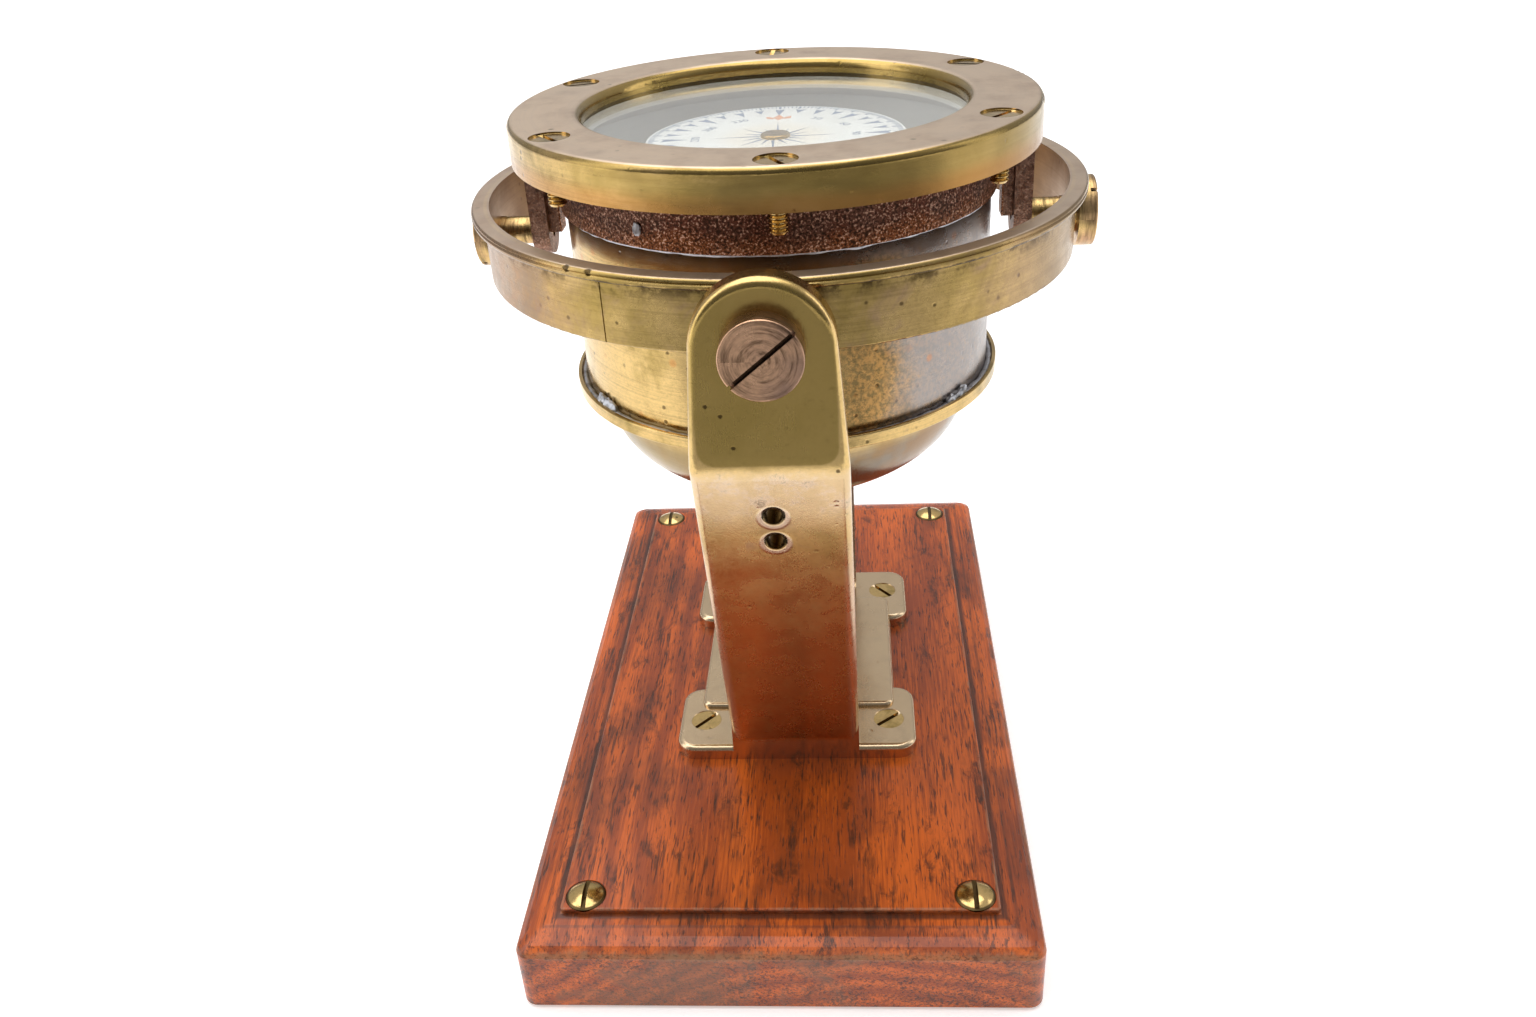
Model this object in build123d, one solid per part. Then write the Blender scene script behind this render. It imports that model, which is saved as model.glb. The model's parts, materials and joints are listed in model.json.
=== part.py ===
"""Gimballed binnacle compass: a liquid-filled bowl in a brass ring, on a forked bracket and board.

Millimetres, +Z up.  The origin is the centre of the board's underside.  The bracket stands a
little off the board's centre.  The ring swings about an axis along Y through the fork, and the
bowl swings in the ring about an axis along X.  Both axes cross at the pivot centre.
"""
from build123d import *
from math import cos, pi, sin
import os

# ---------------------------------------------------------------- board
BOARD_WIDTH = 138.0
BOARD_LENGTH = 233.0
BOARD_THICK = 24.6
BOARD_SIDE = 19.0          # height of the upright side
BOARD_CORNER = 4.0
PANEL_WIDTH = 116.5        # raised middle of the board
PANEL_LENGTH = 210.0
PANEL_STEP = 1.6
PANEL_CORNER = 1.5
MOULDING_STEPS = 5         # flats that make up the moulding's round
BOARD_EASE = 1.2           # eased lower edge
WOOD_SCREW_X = 103.8
WOOD_SCREW_Y = 200.0
WOOD_HEAD = 10.6
WOOD_DOME = 1.7
WOOD_SHANK = 2.4
WOOD_LENGTH = 19.0

# ---------------------------------------------------------------- forked bracket
BRACKET_X = 3.2            # offset of the bracket from the board's centre
BRACKET_Y = 3.1
PIVOT_Z = 176.0            # height of both gimbal axes above the board's underside
PLATE_LENGTH = 97.5
PLATE_EARS = 73.0
PLATE_WAIST = 61.0
PLATE_THICK = 4.5
EAR_LENGTH = 29.5
EAR_ROUND = 6.0
PLATE_EASE = 1.6
PAD_RISE = 1.5             # the waist stands this much above the ears
PAD_LENGTH = 60.0
PLATE_SCREW_X = 56.5
PLATE_SCREW_Y = 71.3
PLATE_HEAD = 9.2
PLATE_SHANK = 2.2
PLATE_SCREW_LENGTH = 17.0
PLATE_SLOT_TURNS = (48.0, -42.0, 40.0, -50.0)
ARM_INNER = 86.2           # upright part of each arm, from the pivot centre
ARM_THICK = 6.5
ARM_TOP_ROUND = 16.4
ARM_BEND_BELOW = 29.0      # the bend is this far below the pivot axis
ARM_BEND_HALF = 18.4
ARM_FOOT_HALF = 19.0
ARM_FOOT_RISE = 8.0        # upright foot under the sloping part
ARM_FOOT_THICK = 9.0
ARM_ROOT_FILLET = 9.0
ARM_BEND_ROUND = 18.0
ARM_EDGE_ROUND = 2.2
LAMP_HOLE = 2.1            # radius of the two lamp-bracket holes
LAMP_HOLE_GAP = 9.0
LAMP_HOLE_BELOW = 44.8     # upper lamp hole, below the pivot axis
LAMP_HOLE_CHAMFER = 0.9

# ---------------------------------------------------------------- pivot screws
HEAD_RADIUS = 9.4
HEAD_THICK = 5.4
RIGHT_HEAD_THICK = 4.9      # the ring's own screws have thinner heads
LEFT_HEAD_THICK = 3.5
HEAD_SLOT = 1.1
HEAD_SLOT_DEEP = 1.9
HEAD_SLOT_TURN = 40.0
HEAD_DIMPLE = 0.8
SHANK_RADIUS = 4.0         # threaded length in the arm or the ring
NECK_RADIUS = 3.8
PIN_RADIUS = 2.0
RUNNING_FIT = 0.05
FREE_GAP = 0.3
COLLAR_RADIUS = 6.2
WASHER_RADIUS = 5.8        # washers under the ring's screws
RING_FLAT = 0.4            # depth of the washer's flat on the round band
SHANK_PAST_RING = 1.5

# ---------------------------------------------------------------- gimbal ring
RING_IN = 77.7
RING_BAND = 79.6
RING_LIP = 82.5
RING_TOP = 12.5
RING_BOTTOM = -6.2
LIP_THICK = 2.8
BEAD_GROOVE_DEEP = 0.35    # groove that parts the lip's edge into two beads
BEAD_GROOVE_FLARE = 1.5    # half its height, 1 mm outside the lip
BEAD_GROOVE_BELOW = 1.2
RING_SEAM_TURN = -118.5
RING_SEAM_WIDE = 0.35
RING_SEAM_DEEP = 0.3

# ---------------------------------------------------------------- bowl
BEZEL_RADIUS = 70.2
BEZEL_TOP = 33.5
BEZEL_BOTTOM = 23.1
BEZEL_ROUND = 1.8
BEZEL_MOUTH = 50.8
BEZEL_BEVEL = 2.6
BEZEL_SEAT = 25.9          # where the bezel lies on the rim flange
BEZEL_SKIRT_IN = 66.9
GLASS_RADIUS = 55.9
GLASS_THICK = 2.6
GASKET_THICK = 1.0
GLASS_POCKET = 56.3
FLANGE_RADIUS = 66.6
FLANGE_BOTTOM = 22.6
RIM_RADIUS = 59.0
RIM_BOTTOM = 10.0
RIM_MOUTH = 52.0
TUBE_OUT = 57.6
TUBE_IN = 56.4
TUBE_TOP = 19.8
TUBE_BOTTOM = -41.0
PAN_RADIUS = 60.4
PAN_THICK = 1.0
PAN_LIP_RISE = 2.6
DOME_RADIUS = 53.0
DOME_DEPTH = 31.5
DOME_POWER = 2.35
DOME_STEPS = 10
LUG_IN = 63.4
LUG_OUT = 68.2
LUG_HALF = 6.5
WEB_IN = 60.4              # thin web on the inner side of each lug
WEB_HALF = 3.0
WEB_BOTTOM = 0.0
SCREW_CIRCLE = 63.4
SCREW_TURN = 3.0           # turn of the bezel screws away from square
BEZEL_SCREWS = 6
THREAD_MAJOR = 2.38
THREAD_MINOR = 1.85
THREAD_PITCH = 1.058
THREAD_TURNS = 5
CSK_HEAD = 5.0
CSK_DEEP = 2.9
CSK_SINK = 0.5             # heads sit this far below the bezel's face
BEZEL_SLOT_TURN = 25.0
TAB_TURNS = (-27.0, 27.0, 153.0, -153.0)
PLUG_Z = -18.0
PLUG_RADIUS = 2.5
BOSS_RADIUS = 5.6
BOSS_OUT = 60.6
WASHER_THICK = 0.8
PLUG_HEAD_THICK = 2.6

# ---------------------------------------------------------------- inside the bowl
DIAPHRAGM_RADIUS = 56.2
DIAPHRAGM_THICK = 0.5
CLAMP_IN = 50.0
CLAMP_THICK = 2.5
BRIDGE_HALF = 6.0
BRIDGE_TOP = -31.0
BRIDGE_THICK = 3.0
POST_RADIUS = 3.0
POST_TOP = 8.0
NEEDLE_RADIUS = 0.8
NEEDLE_TIP = 16.5
BALLAST_TOP = -62.0
BALLAST_GAP = 0.3
LUBBER_IN = 38.5
LUBBER_THICK = 1.0
LUBBER_FOOT = 10.0
CARD_RADIUS = 35.0
CARD_TOP = 21.0
CARD_THICK = 0.5
CUP_RADIUS = 2.6
CUP_BORE = 1.7
CUP_BOTTOM = 13.6
JEWEL_BOTTOM = 16.8
JEWEL_THICK = 1.0
FLOAT_RADIUS = 15.0
FLOAT_BOTTOM = 13.0
FLOAT_WALL = 0.5
MAGNET_RADIUS = 1.5
MAGNET_LENGTH = 44.0
MAGNET_SPREAD = 9.0

CUT = 400.0                # longer than anything it cuts
PIVOT = Pos(BRACKET_X, BRACKET_Y, PIVOT_Z)
BRACKET = Pos(BRACKET_X, BRACKET_Y, 0)


def rod(radius, low, high):
    """Upright cylinder between two heights."""
    return Pos(0, 0, low) * Cylinder(radius, high - low, align=(Align.CENTER, Align.CENTER, Align.MIN))


def tube(outer, inner, low, high):
    """Upright ring between two heights."""
    return rod(outer, low, high) - rod(inner, low - 1, high + 1)


def spun(*points):
    """Solid of revolution about Z from a closed outline of (radius, height) points."""
    outline = make_face(Polyline(*[(r, 0, z) for r, z in points], close=True))
    return revolve(outline, Axis.Z)


def along_x(shape):
    """Turn an upright shape so that its +Z end faces +X."""
    return Rot(0, 90, 0) * shape


def along_y(shape):
    """Turn an upright shape so that its +Z end faces +Y."""
    return Rot(-90, 0, 0) * shape


def slot(width, depth, face, turn):
    """Straight screwdriver slot cut down from a height."""
    return Rot(0, 0, turn) * Pos(0, 0, face) * Box(CUT, width, 2 * depth)


def four(width, length):
    """Corners of a rectangle about the centre."""
    return [(sx * width / 2, sy * length / 2) for sx in (-1, 1) for sy in (-1, 1)]


# ================================================================ stand
def wood_screw_hole():
    """Countersunk pilot hole of a board screw, from the board's face down."""
    head = WOOD_HEAD / 2
    sink = spun((0, 0.1), (head + 0.2, 0.1), (head + 0.2, 0), (WOOD_SHANK + 0.1, -head), (0, -head))
    return sink + rod(WOOD_SHANK + 0.1, -WOOD_LENGTH - 1, -1)


def base_board():
    """Varnished plank with a raised panel, a rounded moulding and eased corners."""
    slab = extrude(RectangleRounded(BOARD_WIDTH, BOARD_LENGTH, BOARD_CORNER), BOARD_SIDE)
    slab = chamfer(slab.faces().sort_by(Axis.Z)[0].edges(), BOARD_EASE)
    rise = BOARD_THICK - PANEL_STEP - BOARD_SIDE
    rings = []
    for step in range(MOULDING_STEPS + 1):
        turn = pi / 2 * step / MOULDING_STEPS
        inset = 1 - cos(turn)
        width = BOARD_WIDTH + (PANEL_WIDTH - BOARD_WIDTH) * inset
        length = BOARD_LENGTH + (PANEL_LENGTH - BOARD_LENGTH) * inset
        corner = BOARD_CORNER + (PANEL_CORNER - BOARD_CORNER) * inset
        rings.append(Pos(0, 0, BOARD_SIDE + rise * sin(turn)) * RectangleRounded(width, length, corner))
    moulding = Part() + [loft([low, high]) for low, high in zip(rings, rings[1:])]
    panel = Pos(0, 0, BOARD_SIDE) * extrude(RectangleRounded(PANEL_WIDTH, PANEL_LENGTH, PANEL_CORNER),
                                            BOARD_THICK - BOARD_SIDE)
    panel = fillet(panel.faces().sort_by(Axis.Z)[-1].edges(), PANEL_STEP / 3)
    board = slab + moulding + panel
    for x, y in four(WOOD_SCREW_X, WOOD_SCREW_Y):
        board -= Pos(x, y, BOARD_THICK) * wood_screw_hole()
    for x, y in four(PLATE_SCREW_X, PLATE_SCREW_Y):
        board -= BRACKET * Pos(x, y, BOARD_THICK) * rod(PLATE_SHANK + 0.1, -PLATE_SCREW_LENGTH, 1)
    return board


def base_corner_screws():
    """Four raised-head slotted brass screws in the board's corners."""
    head = WOOD_HEAD / 2
    dome_ball = (head ** 2 + WOOD_DOME ** 2) / (2 * WOOD_DOME)
    dome = (Pos(0, 0, WOOD_DOME - dome_ball) * Sphere(dome_ball)) & rod(head, 0, WOOD_DOME + 1)
    cone = spun((0, 0), (head, 0), (WOOD_SHANK, WOOD_SHANK - head), (0, WOOD_SHANK - head))
    taper = spun((0, -1), (WOOD_SHANK, -1), (WOOD_SHANK, 4 - WOOD_LENGTH), (0, -WOOD_LENGTH))
    screw = dome + cone + taper - slot(1.3, 1.5, WOOD_DOME, 90)
    return [Pos(x, y, BOARD_THICK) * screw for x, y in four(WOOD_SCREW_X, WOOD_SCREW_Y)]


def foot_plate_screws():
    """Four countersunk slotted screws through the bracket's ears into the board."""
    head = PLATE_HEAD / 2
    face = BOARD_THICK + PLATE_THICK
    outline = spun((0, 0), (head, 0), (PLATE_SHANK, PLATE_SHANK - head),
                   (PLATE_SHANK, 3 - PLATE_SCREW_LENGTH), (0, -PLATE_SCREW_LENGTH))
    screws = []
    for (x, y), turn in zip(four(PLATE_SCREW_X, PLATE_SCREW_Y), PLATE_SLOT_TURNS):
        screws.append(BRACKET * Pos(x, y, face - 0.2) * (outline - slot(1.2, 1.2, 0, turn)))
    return screws


def arm_outline():
    """Front view of an arm: a round top that widens down to the foot."""
    foot = BOARD_THICK
    bend = PIVOT_Z - ARM_BEND_BELOW
    left = [(-ARM_TOP_ROUND, PIVOT_Z), (-ARM_BEND_HALF, bend), (-ARM_FOOT_HALF, foot + ARM_FOOT_RISE),
            (-ARM_FOOT_HALF, foot)]
    right = [(-x, z) for x, z in reversed(left)]
    sides = Polyline(*[(x, 0, z) for x, z in left + right])
    crown = ThreePointArc((ARM_TOP_ROUND, 0, PIVOT_Z), (0, 0, PIVOT_Z + ARM_TOP_ROUND),
                          (-ARM_TOP_ROUND, 0, PIVOT_Z))
    face = make_face(sides + crown)
    return extrude(face, CUT, dir=(0, 1, 0), both=True)


def arm_side():
    """Side view of both arms and the web between their feet."""
    foot = BOARD_THICK
    top = PIVOT_Z + ARM_TOP_ROUND + 1
    bend = PIVOT_Z - ARM_BEND_BELOW
    end = PLATE_LENGTH / 2
    outer = ARM_INNER + ARM_THICK
    floor = foot + PLATE_THICK + PAD_RISE
    half = [(outer, top), (outer, bend), (end, foot + ARM_FOOT_RISE), (end, foot)]
    inner = [(end - ARM_FOOT_THICK, floor), (ARM_INNER, bend + 1.2), (ARM_INNER, top)]
    points = half + [(-y, z) for y, z in reversed(half)]
    points += [(-y, z) for y, z in reversed(inner)] + inner
    face = make_face(Polyline(*[(0, y, z) for y, z in points], close=True))
    corners = face.vertices()
    face = fillet([v for v in corners if abs(v.Z - floor) < 0.1], ARM_ROOT_FILLET)
    bends = [v for v in face.vertices() if abs(v.Z - bend) < 2 and abs(v.Y) > ARM_INNER - 1]
    face = fillet(bends, ARM_BEND_ROUND)
    return extrude(face, CUT / 2, dir=(1, 0, 0), both=True)


def fork_casting():
    """Foot plate with four ears, and the two arms that carry the gimbal ring."""
    arms = arm_side() & arm_outline()
    outer = ARM_INNER + ARM_THICK
    rims = [e for e in arms.edges() if e.center().Z > PIVOT_Z - ARM_BEND_BELOW + 4
            and abs(abs(e.center().Y) - outer) < 0.05]
    arms = fillet(rims, ARM_EDGE_ROUND)
    ears = [Pos(0, s * (PLATE_LENGTH - EAR_LENGTH) / 2) * RectangleRounded(PLATE_EARS, EAR_LENGTH, EAR_ROUND)
            for s in (-1, 1)]
    plate = extrude(Rectangle(PLATE_WAIST, PLATE_LENGTH - EAR_LENGTH) + ears, PLATE_THICK)
    plate = fillet(plate.faces().sort_by(Axis.Z)[-1].edges(), PLATE_EASE)
    pad = extrude(RectangleRounded(PLATE_WAIST - 1, PAD_LENGTH, 3), PLATE_THICK + PAD_RISE)
    pad = fillet(pad.faces().sort_by(Axis.Z)[-1].edges(), PAD_RISE * 0.8)
    casting = arms + Pos(0, 0, BOARD_THICK) * (plate + pad)
    head = PLATE_HEAD / 2
    sink = spun((0, 0.5), (head + 0.1, 0.5), (head + 0.1, -0.1), (PLATE_SHANK + 0.1, PLATE_SHANK - head - 0.1),
                (PLATE_SHANK + 0.1, -PLATE_THICK - 1), (0, -PLATE_THICK - 1))
    for x, y in four(PLATE_SCREW_X, PLATE_SCREW_Y):
        casting -= Pos(x, y, BOARD_THICK + PLATE_THICK) * sink
    casting -= Pos(0, 0, PIVOT_Z) * along_y(rod(SHANK_RADIUS + RUNNING_FIT, -CUT, CUT))
    slope = (outer - PLATE_LENGTH / 2) / (PIVOT_Z - ARM_BEND_BELOW - BOARD_THICK - ARM_FOOT_RISE)
    for step in range(2):
        below = LAMP_HOLE_BELOW + step * LAMP_HOLE_GAP
        face_y = slope * (below - ARM_BEND_BELOW) - outer
        hole = along_y(rod(LAMP_HOLE, -CUT / 8, CUT / 8))
        mouth = along_y(spun((0, -3), (LAMP_HOLE + 3, -3), (LAMP_HOLE, LAMP_HOLE_CHAMFER), (0, LAMP_HOLE_CHAMFER)))
        casting -= Pos(0, face_y, PIVOT_Z - below) * (hole + mouth)
    return [BRACKET * casting]


# ================================================================ pivot screws
def pivot_screw(head_thick, seat, neck, pin, end):
    """Screw along +Z: slotted head on its seat, shank from seat to neck, neck to pin, pin to end.

    Distances run outwards from the pivot centre, so end is nearest the bowl.
    """
    face = seat + head_thick
    head = rod(HEAD_RADIUS, seat, face)
    head = fillet(head.faces().sort_by(Axis.Z)[-1].edges(), 0.5)
    head -= slot(HEAD_SLOT, HEAD_SLOT_DEEP, face, HEAD_SLOT_TURN)
    head -= Pos(0, 0, face) * Cone(0.01, HEAD_DIMPLE, HEAD_DIMPLE)
    shank = rod(SHANK_RADIUS, neck, seat)
    return head + shank + rod(NECK_RADIUS, pin, neck) + rod(PIN_RADIUS, end, pin)


def fork_pivot_screw():
    """Screw through an arm whose pin end turns in the ring's hole."""
    seat = ARM_INNER + ARM_THICK
    return pivot_screw(HEAD_THICK, seat, ARM_INNER - 1, RING_BAND + FREE_GAP, RING_IN + 0.2)


def ring_pivot_screw(head_thick):
    """Screw through the ring whose pin end turns in the bowl's lug."""
    seat = RING_BAND + WASHER_THICK
    return pivot_screw(head_thick, seat, RING_IN - SHANK_PAST_RING, LUG_OUT + FREE_GAP, LUG_IN + 0.4)


def fork_spacer():
    """Collar on the screw between an arm and the ring."""
    return tube(COLLAR_RADIUS, SHANK_RADIUS + RUNNING_FIT, RING_BAND + 2 * FREE_GAP, ARM_INNER)


def ring_washer():
    """Flat washer under a ring screw's head, let into the round band."""
    return tube(WASHER_RADIUS, SHANK_RADIUS + RUNNING_FIT, RING_BAND - RING_FLAT, RING_BAND + WASHER_THICK)


# ================================================================ gimbal ring
def gimbal_ring():
    """Brass band with a half-round lip round its top edge and a soldered butt seam."""
    lip_low = RING_TOP - LIP_THICK
    lip = spun((RING_IN, lip_low), (RING_LIP, lip_low), (RING_LIP, RING_TOP), (RING_IN, RING_TOP))
    outer_edges = [e for e in lip.edges().filter_by(GeomType.CIRCLE) if e.radius > RING_LIP - 0.1]
    lip = fillet(outer_edges, LIP_THICK * 0.36)
    groove = RING_TOP - BEAD_GROOVE_BELOW
    lip -= spun((RING_LIP - BEAD_GROOVE_DEEP, groove), (RING_LIP + 1, groove - BEAD_GROOVE_FLARE),
                (RING_LIP + 1, groove + BEAD_GROOVE_FLARE))
    band = tube(RING_BAND, RING_IN, RING_BOTTOM, lip_low)
    ring = band + lip
    foot = [e for e in ring.edges().filter_by(GeomType.CIRCLE) if e.center().Z < RING_BOTTOM + 0.1]
    ring = fillet(foot, 0.5)
    seam = Rot(0, 0, RING_SEAM_TURN) * Pos(RING_BAND, 0, (RING_BOTTOM + lip_low) / 2)
    ring -= seam * Box(2 * RING_SEAM_DEEP, RING_SEAM_WIDE, lip_low - RING_BOTTOM + 1)
    ring -= along_y(rod(PIN_RADIUS + RUNNING_FIT, -CUT, CUT))
    ring -= along_x(rod(SHANK_RADIUS + RUNNING_FIT, -CUT, CUT))
    for side in (0, 180):
        ring -= Rot(0, 0, side) * along_x(rod(WASHER_RADIUS + 0.1, RING_BAND - RING_FLAT, RING_BAND + 1))
    return ring


# ================================================================ bowl
def screw_places():
    """Turns of the bezel screws, one of them near the front."""
    return [SCREW_TURN - 90 + 360 / BEZEL_SCREWS * step for step in range(BEZEL_SCREWS)]


def rim_casting():
    """Cast rim under the bezel, with its bolting flange and two pivot lugs."""
    rim = spun((RIM_MOUTH, BEZEL_SEAT), (FLANGE_RADIUS, BEZEL_SEAT), (FLANGE_RADIUS, FLANGE_BOTTOM),
               (RIM_RADIUS, FLANGE_BOTTOM), (RIM_RADIUS, RIM_BOTTOM), (TUBE_OUT + RUNNING_FIT, RIM_BOTTOM),
               (TUBE_OUT + RUNNING_FIT, TUBE_TOP), (TUBE_IN, TUBE_TOP), (RIM_MOUTH, FLANGE_BOTTOM))
    for side in (-1, 1):
        drop = Pos(side * (LUG_IN + LUG_OUT) / 2, 0, FLANGE_BOTTOM / 2)
        lug = drop * Box(LUG_OUT - LUG_IN, 2 * LUG_HALF, FLANGE_BOTTOM + 0.4)
        toe = along_x(rod(LUG_HALF, LUG_IN, LUG_OUT))
        toe = toe if side > 0 else Rot(0, 0, 180) * toe
        web = Pos(side * (WEB_IN + LUG_IN + 1) / 2, 0, (WEB_BOTTOM + FLANGE_BOTTOM) / 2)
        web *= Box(LUG_IN + 1 - WEB_IN, 2 * WEB_HALF, FLANGE_BOTTOM - WEB_BOTTOM)
        root = Pos(side * (RIM_RADIUS + LUG_IN) / 2, 0, (RIM_BOTTOM + FLANGE_BOTTOM) / 2)
        root *= Box(LUG_IN + 1 - RIM_RADIUS, 2 * WEB_HALF, FLANGE_BOTTOM - RIM_BOTTOM)
        rim += lug + toe + web + (root - rod(RIM_RADIUS - 0.5, -CUT, CUT))
    rim -= along_x(rod(PIN_RADIUS + RUNNING_FIT, -CUT, CUT)) - rod(LUG_IN - 1, -CUT, CUT)
    for turn in screw_places():
        rim -= Rot(0, 0, turn) * Pos(SCREW_CIRCLE, 0, 0) * rod(THREAD_MAJOR + RUNNING_FIT, RIM_BOTTOM, CUT)
    return rim


def bowl_tube():
    """Side wall of the bowl, enamelled white inside."""
    wall = tube(TUBE_OUT, TUBE_IN, TUBE_BOTTOM, TUBE_TOP)
    return wall - Pos(0, 0, PLUG_Z) * along_y(rod(PLUG_RADIUS + RUNNING_FIT, TUBE_IN - 5, CUT))


def dome_curve(radius, depth):
    """Flattened dome outline as (radius, height) points, from its rim to its lowest point."""
    points = []
    for step in range(DOME_STEPS + 1):
        turn = pi / 2 * step / DOME_STEPS
        points.append((radius * cos(turn) ** (2 / DOME_POWER),
                       TUBE_BOTTOM - PAN_THICK - depth * sin(turn) ** (2 / DOME_POWER)))
    points[-1] = (0, points[-1][1])
    return points


def dome_solid(radius, depth, top):
    """Solid under the dome outline up to a flat top."""
    curve = [(r, 0, z) for r, z in dome_curve(radius, depth)]
    side = Spline(*curve, tangents=((0, 0, -1), (-1, 0, 0)))
    closing = Polyline(curve[-1], (0, 0, top), (radius, 0, top), curve[0])
    return revolve(make_face(side + closing), Axis.Z)


def bowl_bottom():
    """Spun bottom pan: a rounded dome with a flange whose rim turns up."""
    low = TUBE_BOTTOM - PAN_THICK
    flange = spun((DOME_RADIUS - 4, low), (PAN_RADIUS, low), (PAN_RADIUS, TUBE_BOTTOM + PAN_LIP_RISE),
                  (PAN_RADIUS - PAN_THICK, TUBE_BOTTOM + PAN_LIP_RISE), (PAN_RADIUS - PAN_THICK - 0.6, TUBE_BOTTOM),
                  (DOME_RADIUS - 4, TUBE_BOTTOM))
    rim = [e for e in flange.edges().filter_by(GeomType.CIRCLE) if e.radius > PAN_RADIUS - 0.1]
    flange = fillet(rim, PAN_THICK * 0.45)
    shell = dome_solid(DOME_RADIUS, DOME_DEPTH, TUBE_BOTTOM)
    hollow = dome_solid(DOME_RADIUS - PAN_THICK, DOME_DEPTH - PAN_THICK, TUBE_BOTTOM + 1)
    return flange + shell - hollow


def ballast_weight():
    """Lead poured into the bottom of the dome, which keeps the bowl upright."""
    inner = PAN_THICK + BALLAST_GAP
    lead = dome_solid(DOME_RADIUS - inner, DOME_DEPTH - inner, TUBE_BOTTOM)
    return lead & rod(CUT, -CUT, BALLAST_TOP)


def solder_tabs():
    """Four grey solder tacks between the wall and the bottom pan's rim."""
    room = tube(PAN_RADIUS - PAN_THICK - 0.7, TUBE_OUT + 0.05, TUBE_BOTTOM, TUBE_BOTTOM + 6)
    tabs = []
    for turn in TAB_TURNS:
        blob = Rot(0, 0, turn) * Pos(TUBE_OUT, 0, TUBE_BOTTOM + 1) * scale(Sphere(1), by=(2, 5, 3.6))
        tabs.append(blob & room)
    return tabs


def bezel_ring():
    """Flat brass bezel with a rounded mouth and a skirt over the rim flange."""
    ring = spun((BEZEL_MOUTH, BEZEL_TOP), (BEZEL_RADIUS, BEZEL_TOP), (BEZEL_RADIUS, BEZEL_BOTTOM),
                (BEZEL_SKIRT_IN, BEZEL_BOTTOM), (BEZEL_SKIRT_IN, BEZEL_SEAT), (GLASS_POCKET, BEZEL_SEAT),
                (GLASS_POCKET, BEZEL_SEAT + GASKET_THICK + GLASS_THICK),
                (BEZEL_MOUTH, BEZEL_SEAT + GASKET_THICK + GLASS_THICK))
    top = [e for e in ring.edges().filter_by(GeomType.CIRCLE) if e.center().Z > BEZEL_TOP - 0.1]
    top.sort(key=lambda edge: edge.radius)
    ring = fillet(top[0], BEZEL_BEVEL)
    top = [e for e in ring.edges().filter_by(GeomType.CIRCLE)
           if e.center().Z > BEZEL_TOP - 0.1 and e.radius > BEZEL_RADIUS - 0.1]
    ring = fillet(top, BEZEL_ROUND)
    clear = THREAD_MAJOR + 0.1
    sink = spun((0, 1), (CSK_HEAD + 0.2, 1), (CSK_HEAD + 0.2, -CSK_SINK), (clear, -CSK_SINK - CSK_DEEP),
                (clear, -CUT / 8), (0, -CUT / 8))
    for turn in screw_places():
        ring -= Rot(0, 0, turn) * Pos(SCREW_CIRCLE, 0, BEZEL_TOP) * sink
    return ring


def bezel_screws():
    """Six countersunk screws whose threads come out below the rim flange."""
    thread_top = FLANGE_BOTTOM - 0.1
    points = [(0, -CSK_SINK), (CSK_HEAD, -CSK_SINK), (THREAD_MAJOR, -CSK_SINK - CSK_DEEP),
              (THREAD_MAJOR, thread_top - BEZEL_TOP)]
    for turn in range(THREAD_TURNS):
        start = thread_top - BEZEL_TOP - turn * THREAD_PITCH
        points += [(THREAD_MINOR, start - THREAD_PITCH * 0.4), (THREAD_MAJOR, start - THREAD_PITCH * 0.8),
                   (THREAD_MAJOR, start - THREAD_PITCH)]
    end = points[-1][1]
    points += [(THREAD_MINOR, end - 0.6), (0, end - 0.6)]
    screw = spun(*points)
    screws = []
    for index, turn in enumerate(screw_places()):
        cut = screw - slot(1.3, 1.3, -CSK_SINK, BEZEL_SLOT_TURN + index * 50)
        screws.append(Rot(0, 0, turn) * Pos(SCREW_CIRCLE, 0, BEZEL_TOP) * cut)
    return screws


def lubber_line():
    """Pointer fixed to the front wall, which marks the ship's head."""
    level = TUBE_TOP - LUBBER_THICK - 0.2
    blade = Polyline((-2.2, -TUBE_IN - 3), (2.2, -TUBE_IN - 3), (0.4, -LUBBER_IN), (-0.4, -LUBBER_IN), close=True)
    pointer = Pos(0, 0, level) * extrude(make_face(blade), LUBBER_THICK)
    foot = Pos(0, -TUBE_IN + 0.7, level - LUBBER_FOOT / 2) * Box(4.4, 1.8, LUBBER_FOOT)
    return (pointer + foot) & rod(TUBE_IN - 0.1, -CUT, TUBE_TOP)


def expansion_diaphragm():
    """Corrugated metal disc that gives as the liquid warms and cools."""
    base = TUBE_BOTTOM
    wave = 1.2
    inner = 12.0
    pitch = 6.0
    lower = [(0, base)]
    radius = inner
    sign = 0
    while radius < CLAMP_IN - pitch:
        lower.append((radius, base + wave * sign))
        radius += pitch
        sign = 1 - sign
    lower.append((CLAMP_IN, base))
    lower.append((DIAPHRAGM_RADIUS, base))
    upper = [(r, z + DIAPHRAGM_THICK) for r, z in reversed(lower)]
    return spun(*(lower + upper))


def inner_bridge():
    """Bar across the bowl that carries the pivot post."""
    bar = Pos(0, 0, BRIDGE_TOP - BRIDGE_THICK / 2) * Box(CUT, 2 * BRIDGE_HALF, BRIDGE_THICK)
    return bar & rod(TUBE_IN - 0.1, -CUT, CUT)


def pivot_post():
    """Brass post that narrows to its needle socket."""
    return spun((0, BRIDGE_TOP), (POST_RADIUS + 2, BRIDGE_TOP), (POST_RADIUS + 2, BRIDGE_TOP + 2),
                (POST_RADIUS, BRIDGE_TOP + 4), (POST_RADIUS, POST_TOP - 6), (NEEDLE_RADIUS + 0.8, POST_TOP),
                (0, POST_TOP))


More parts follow.
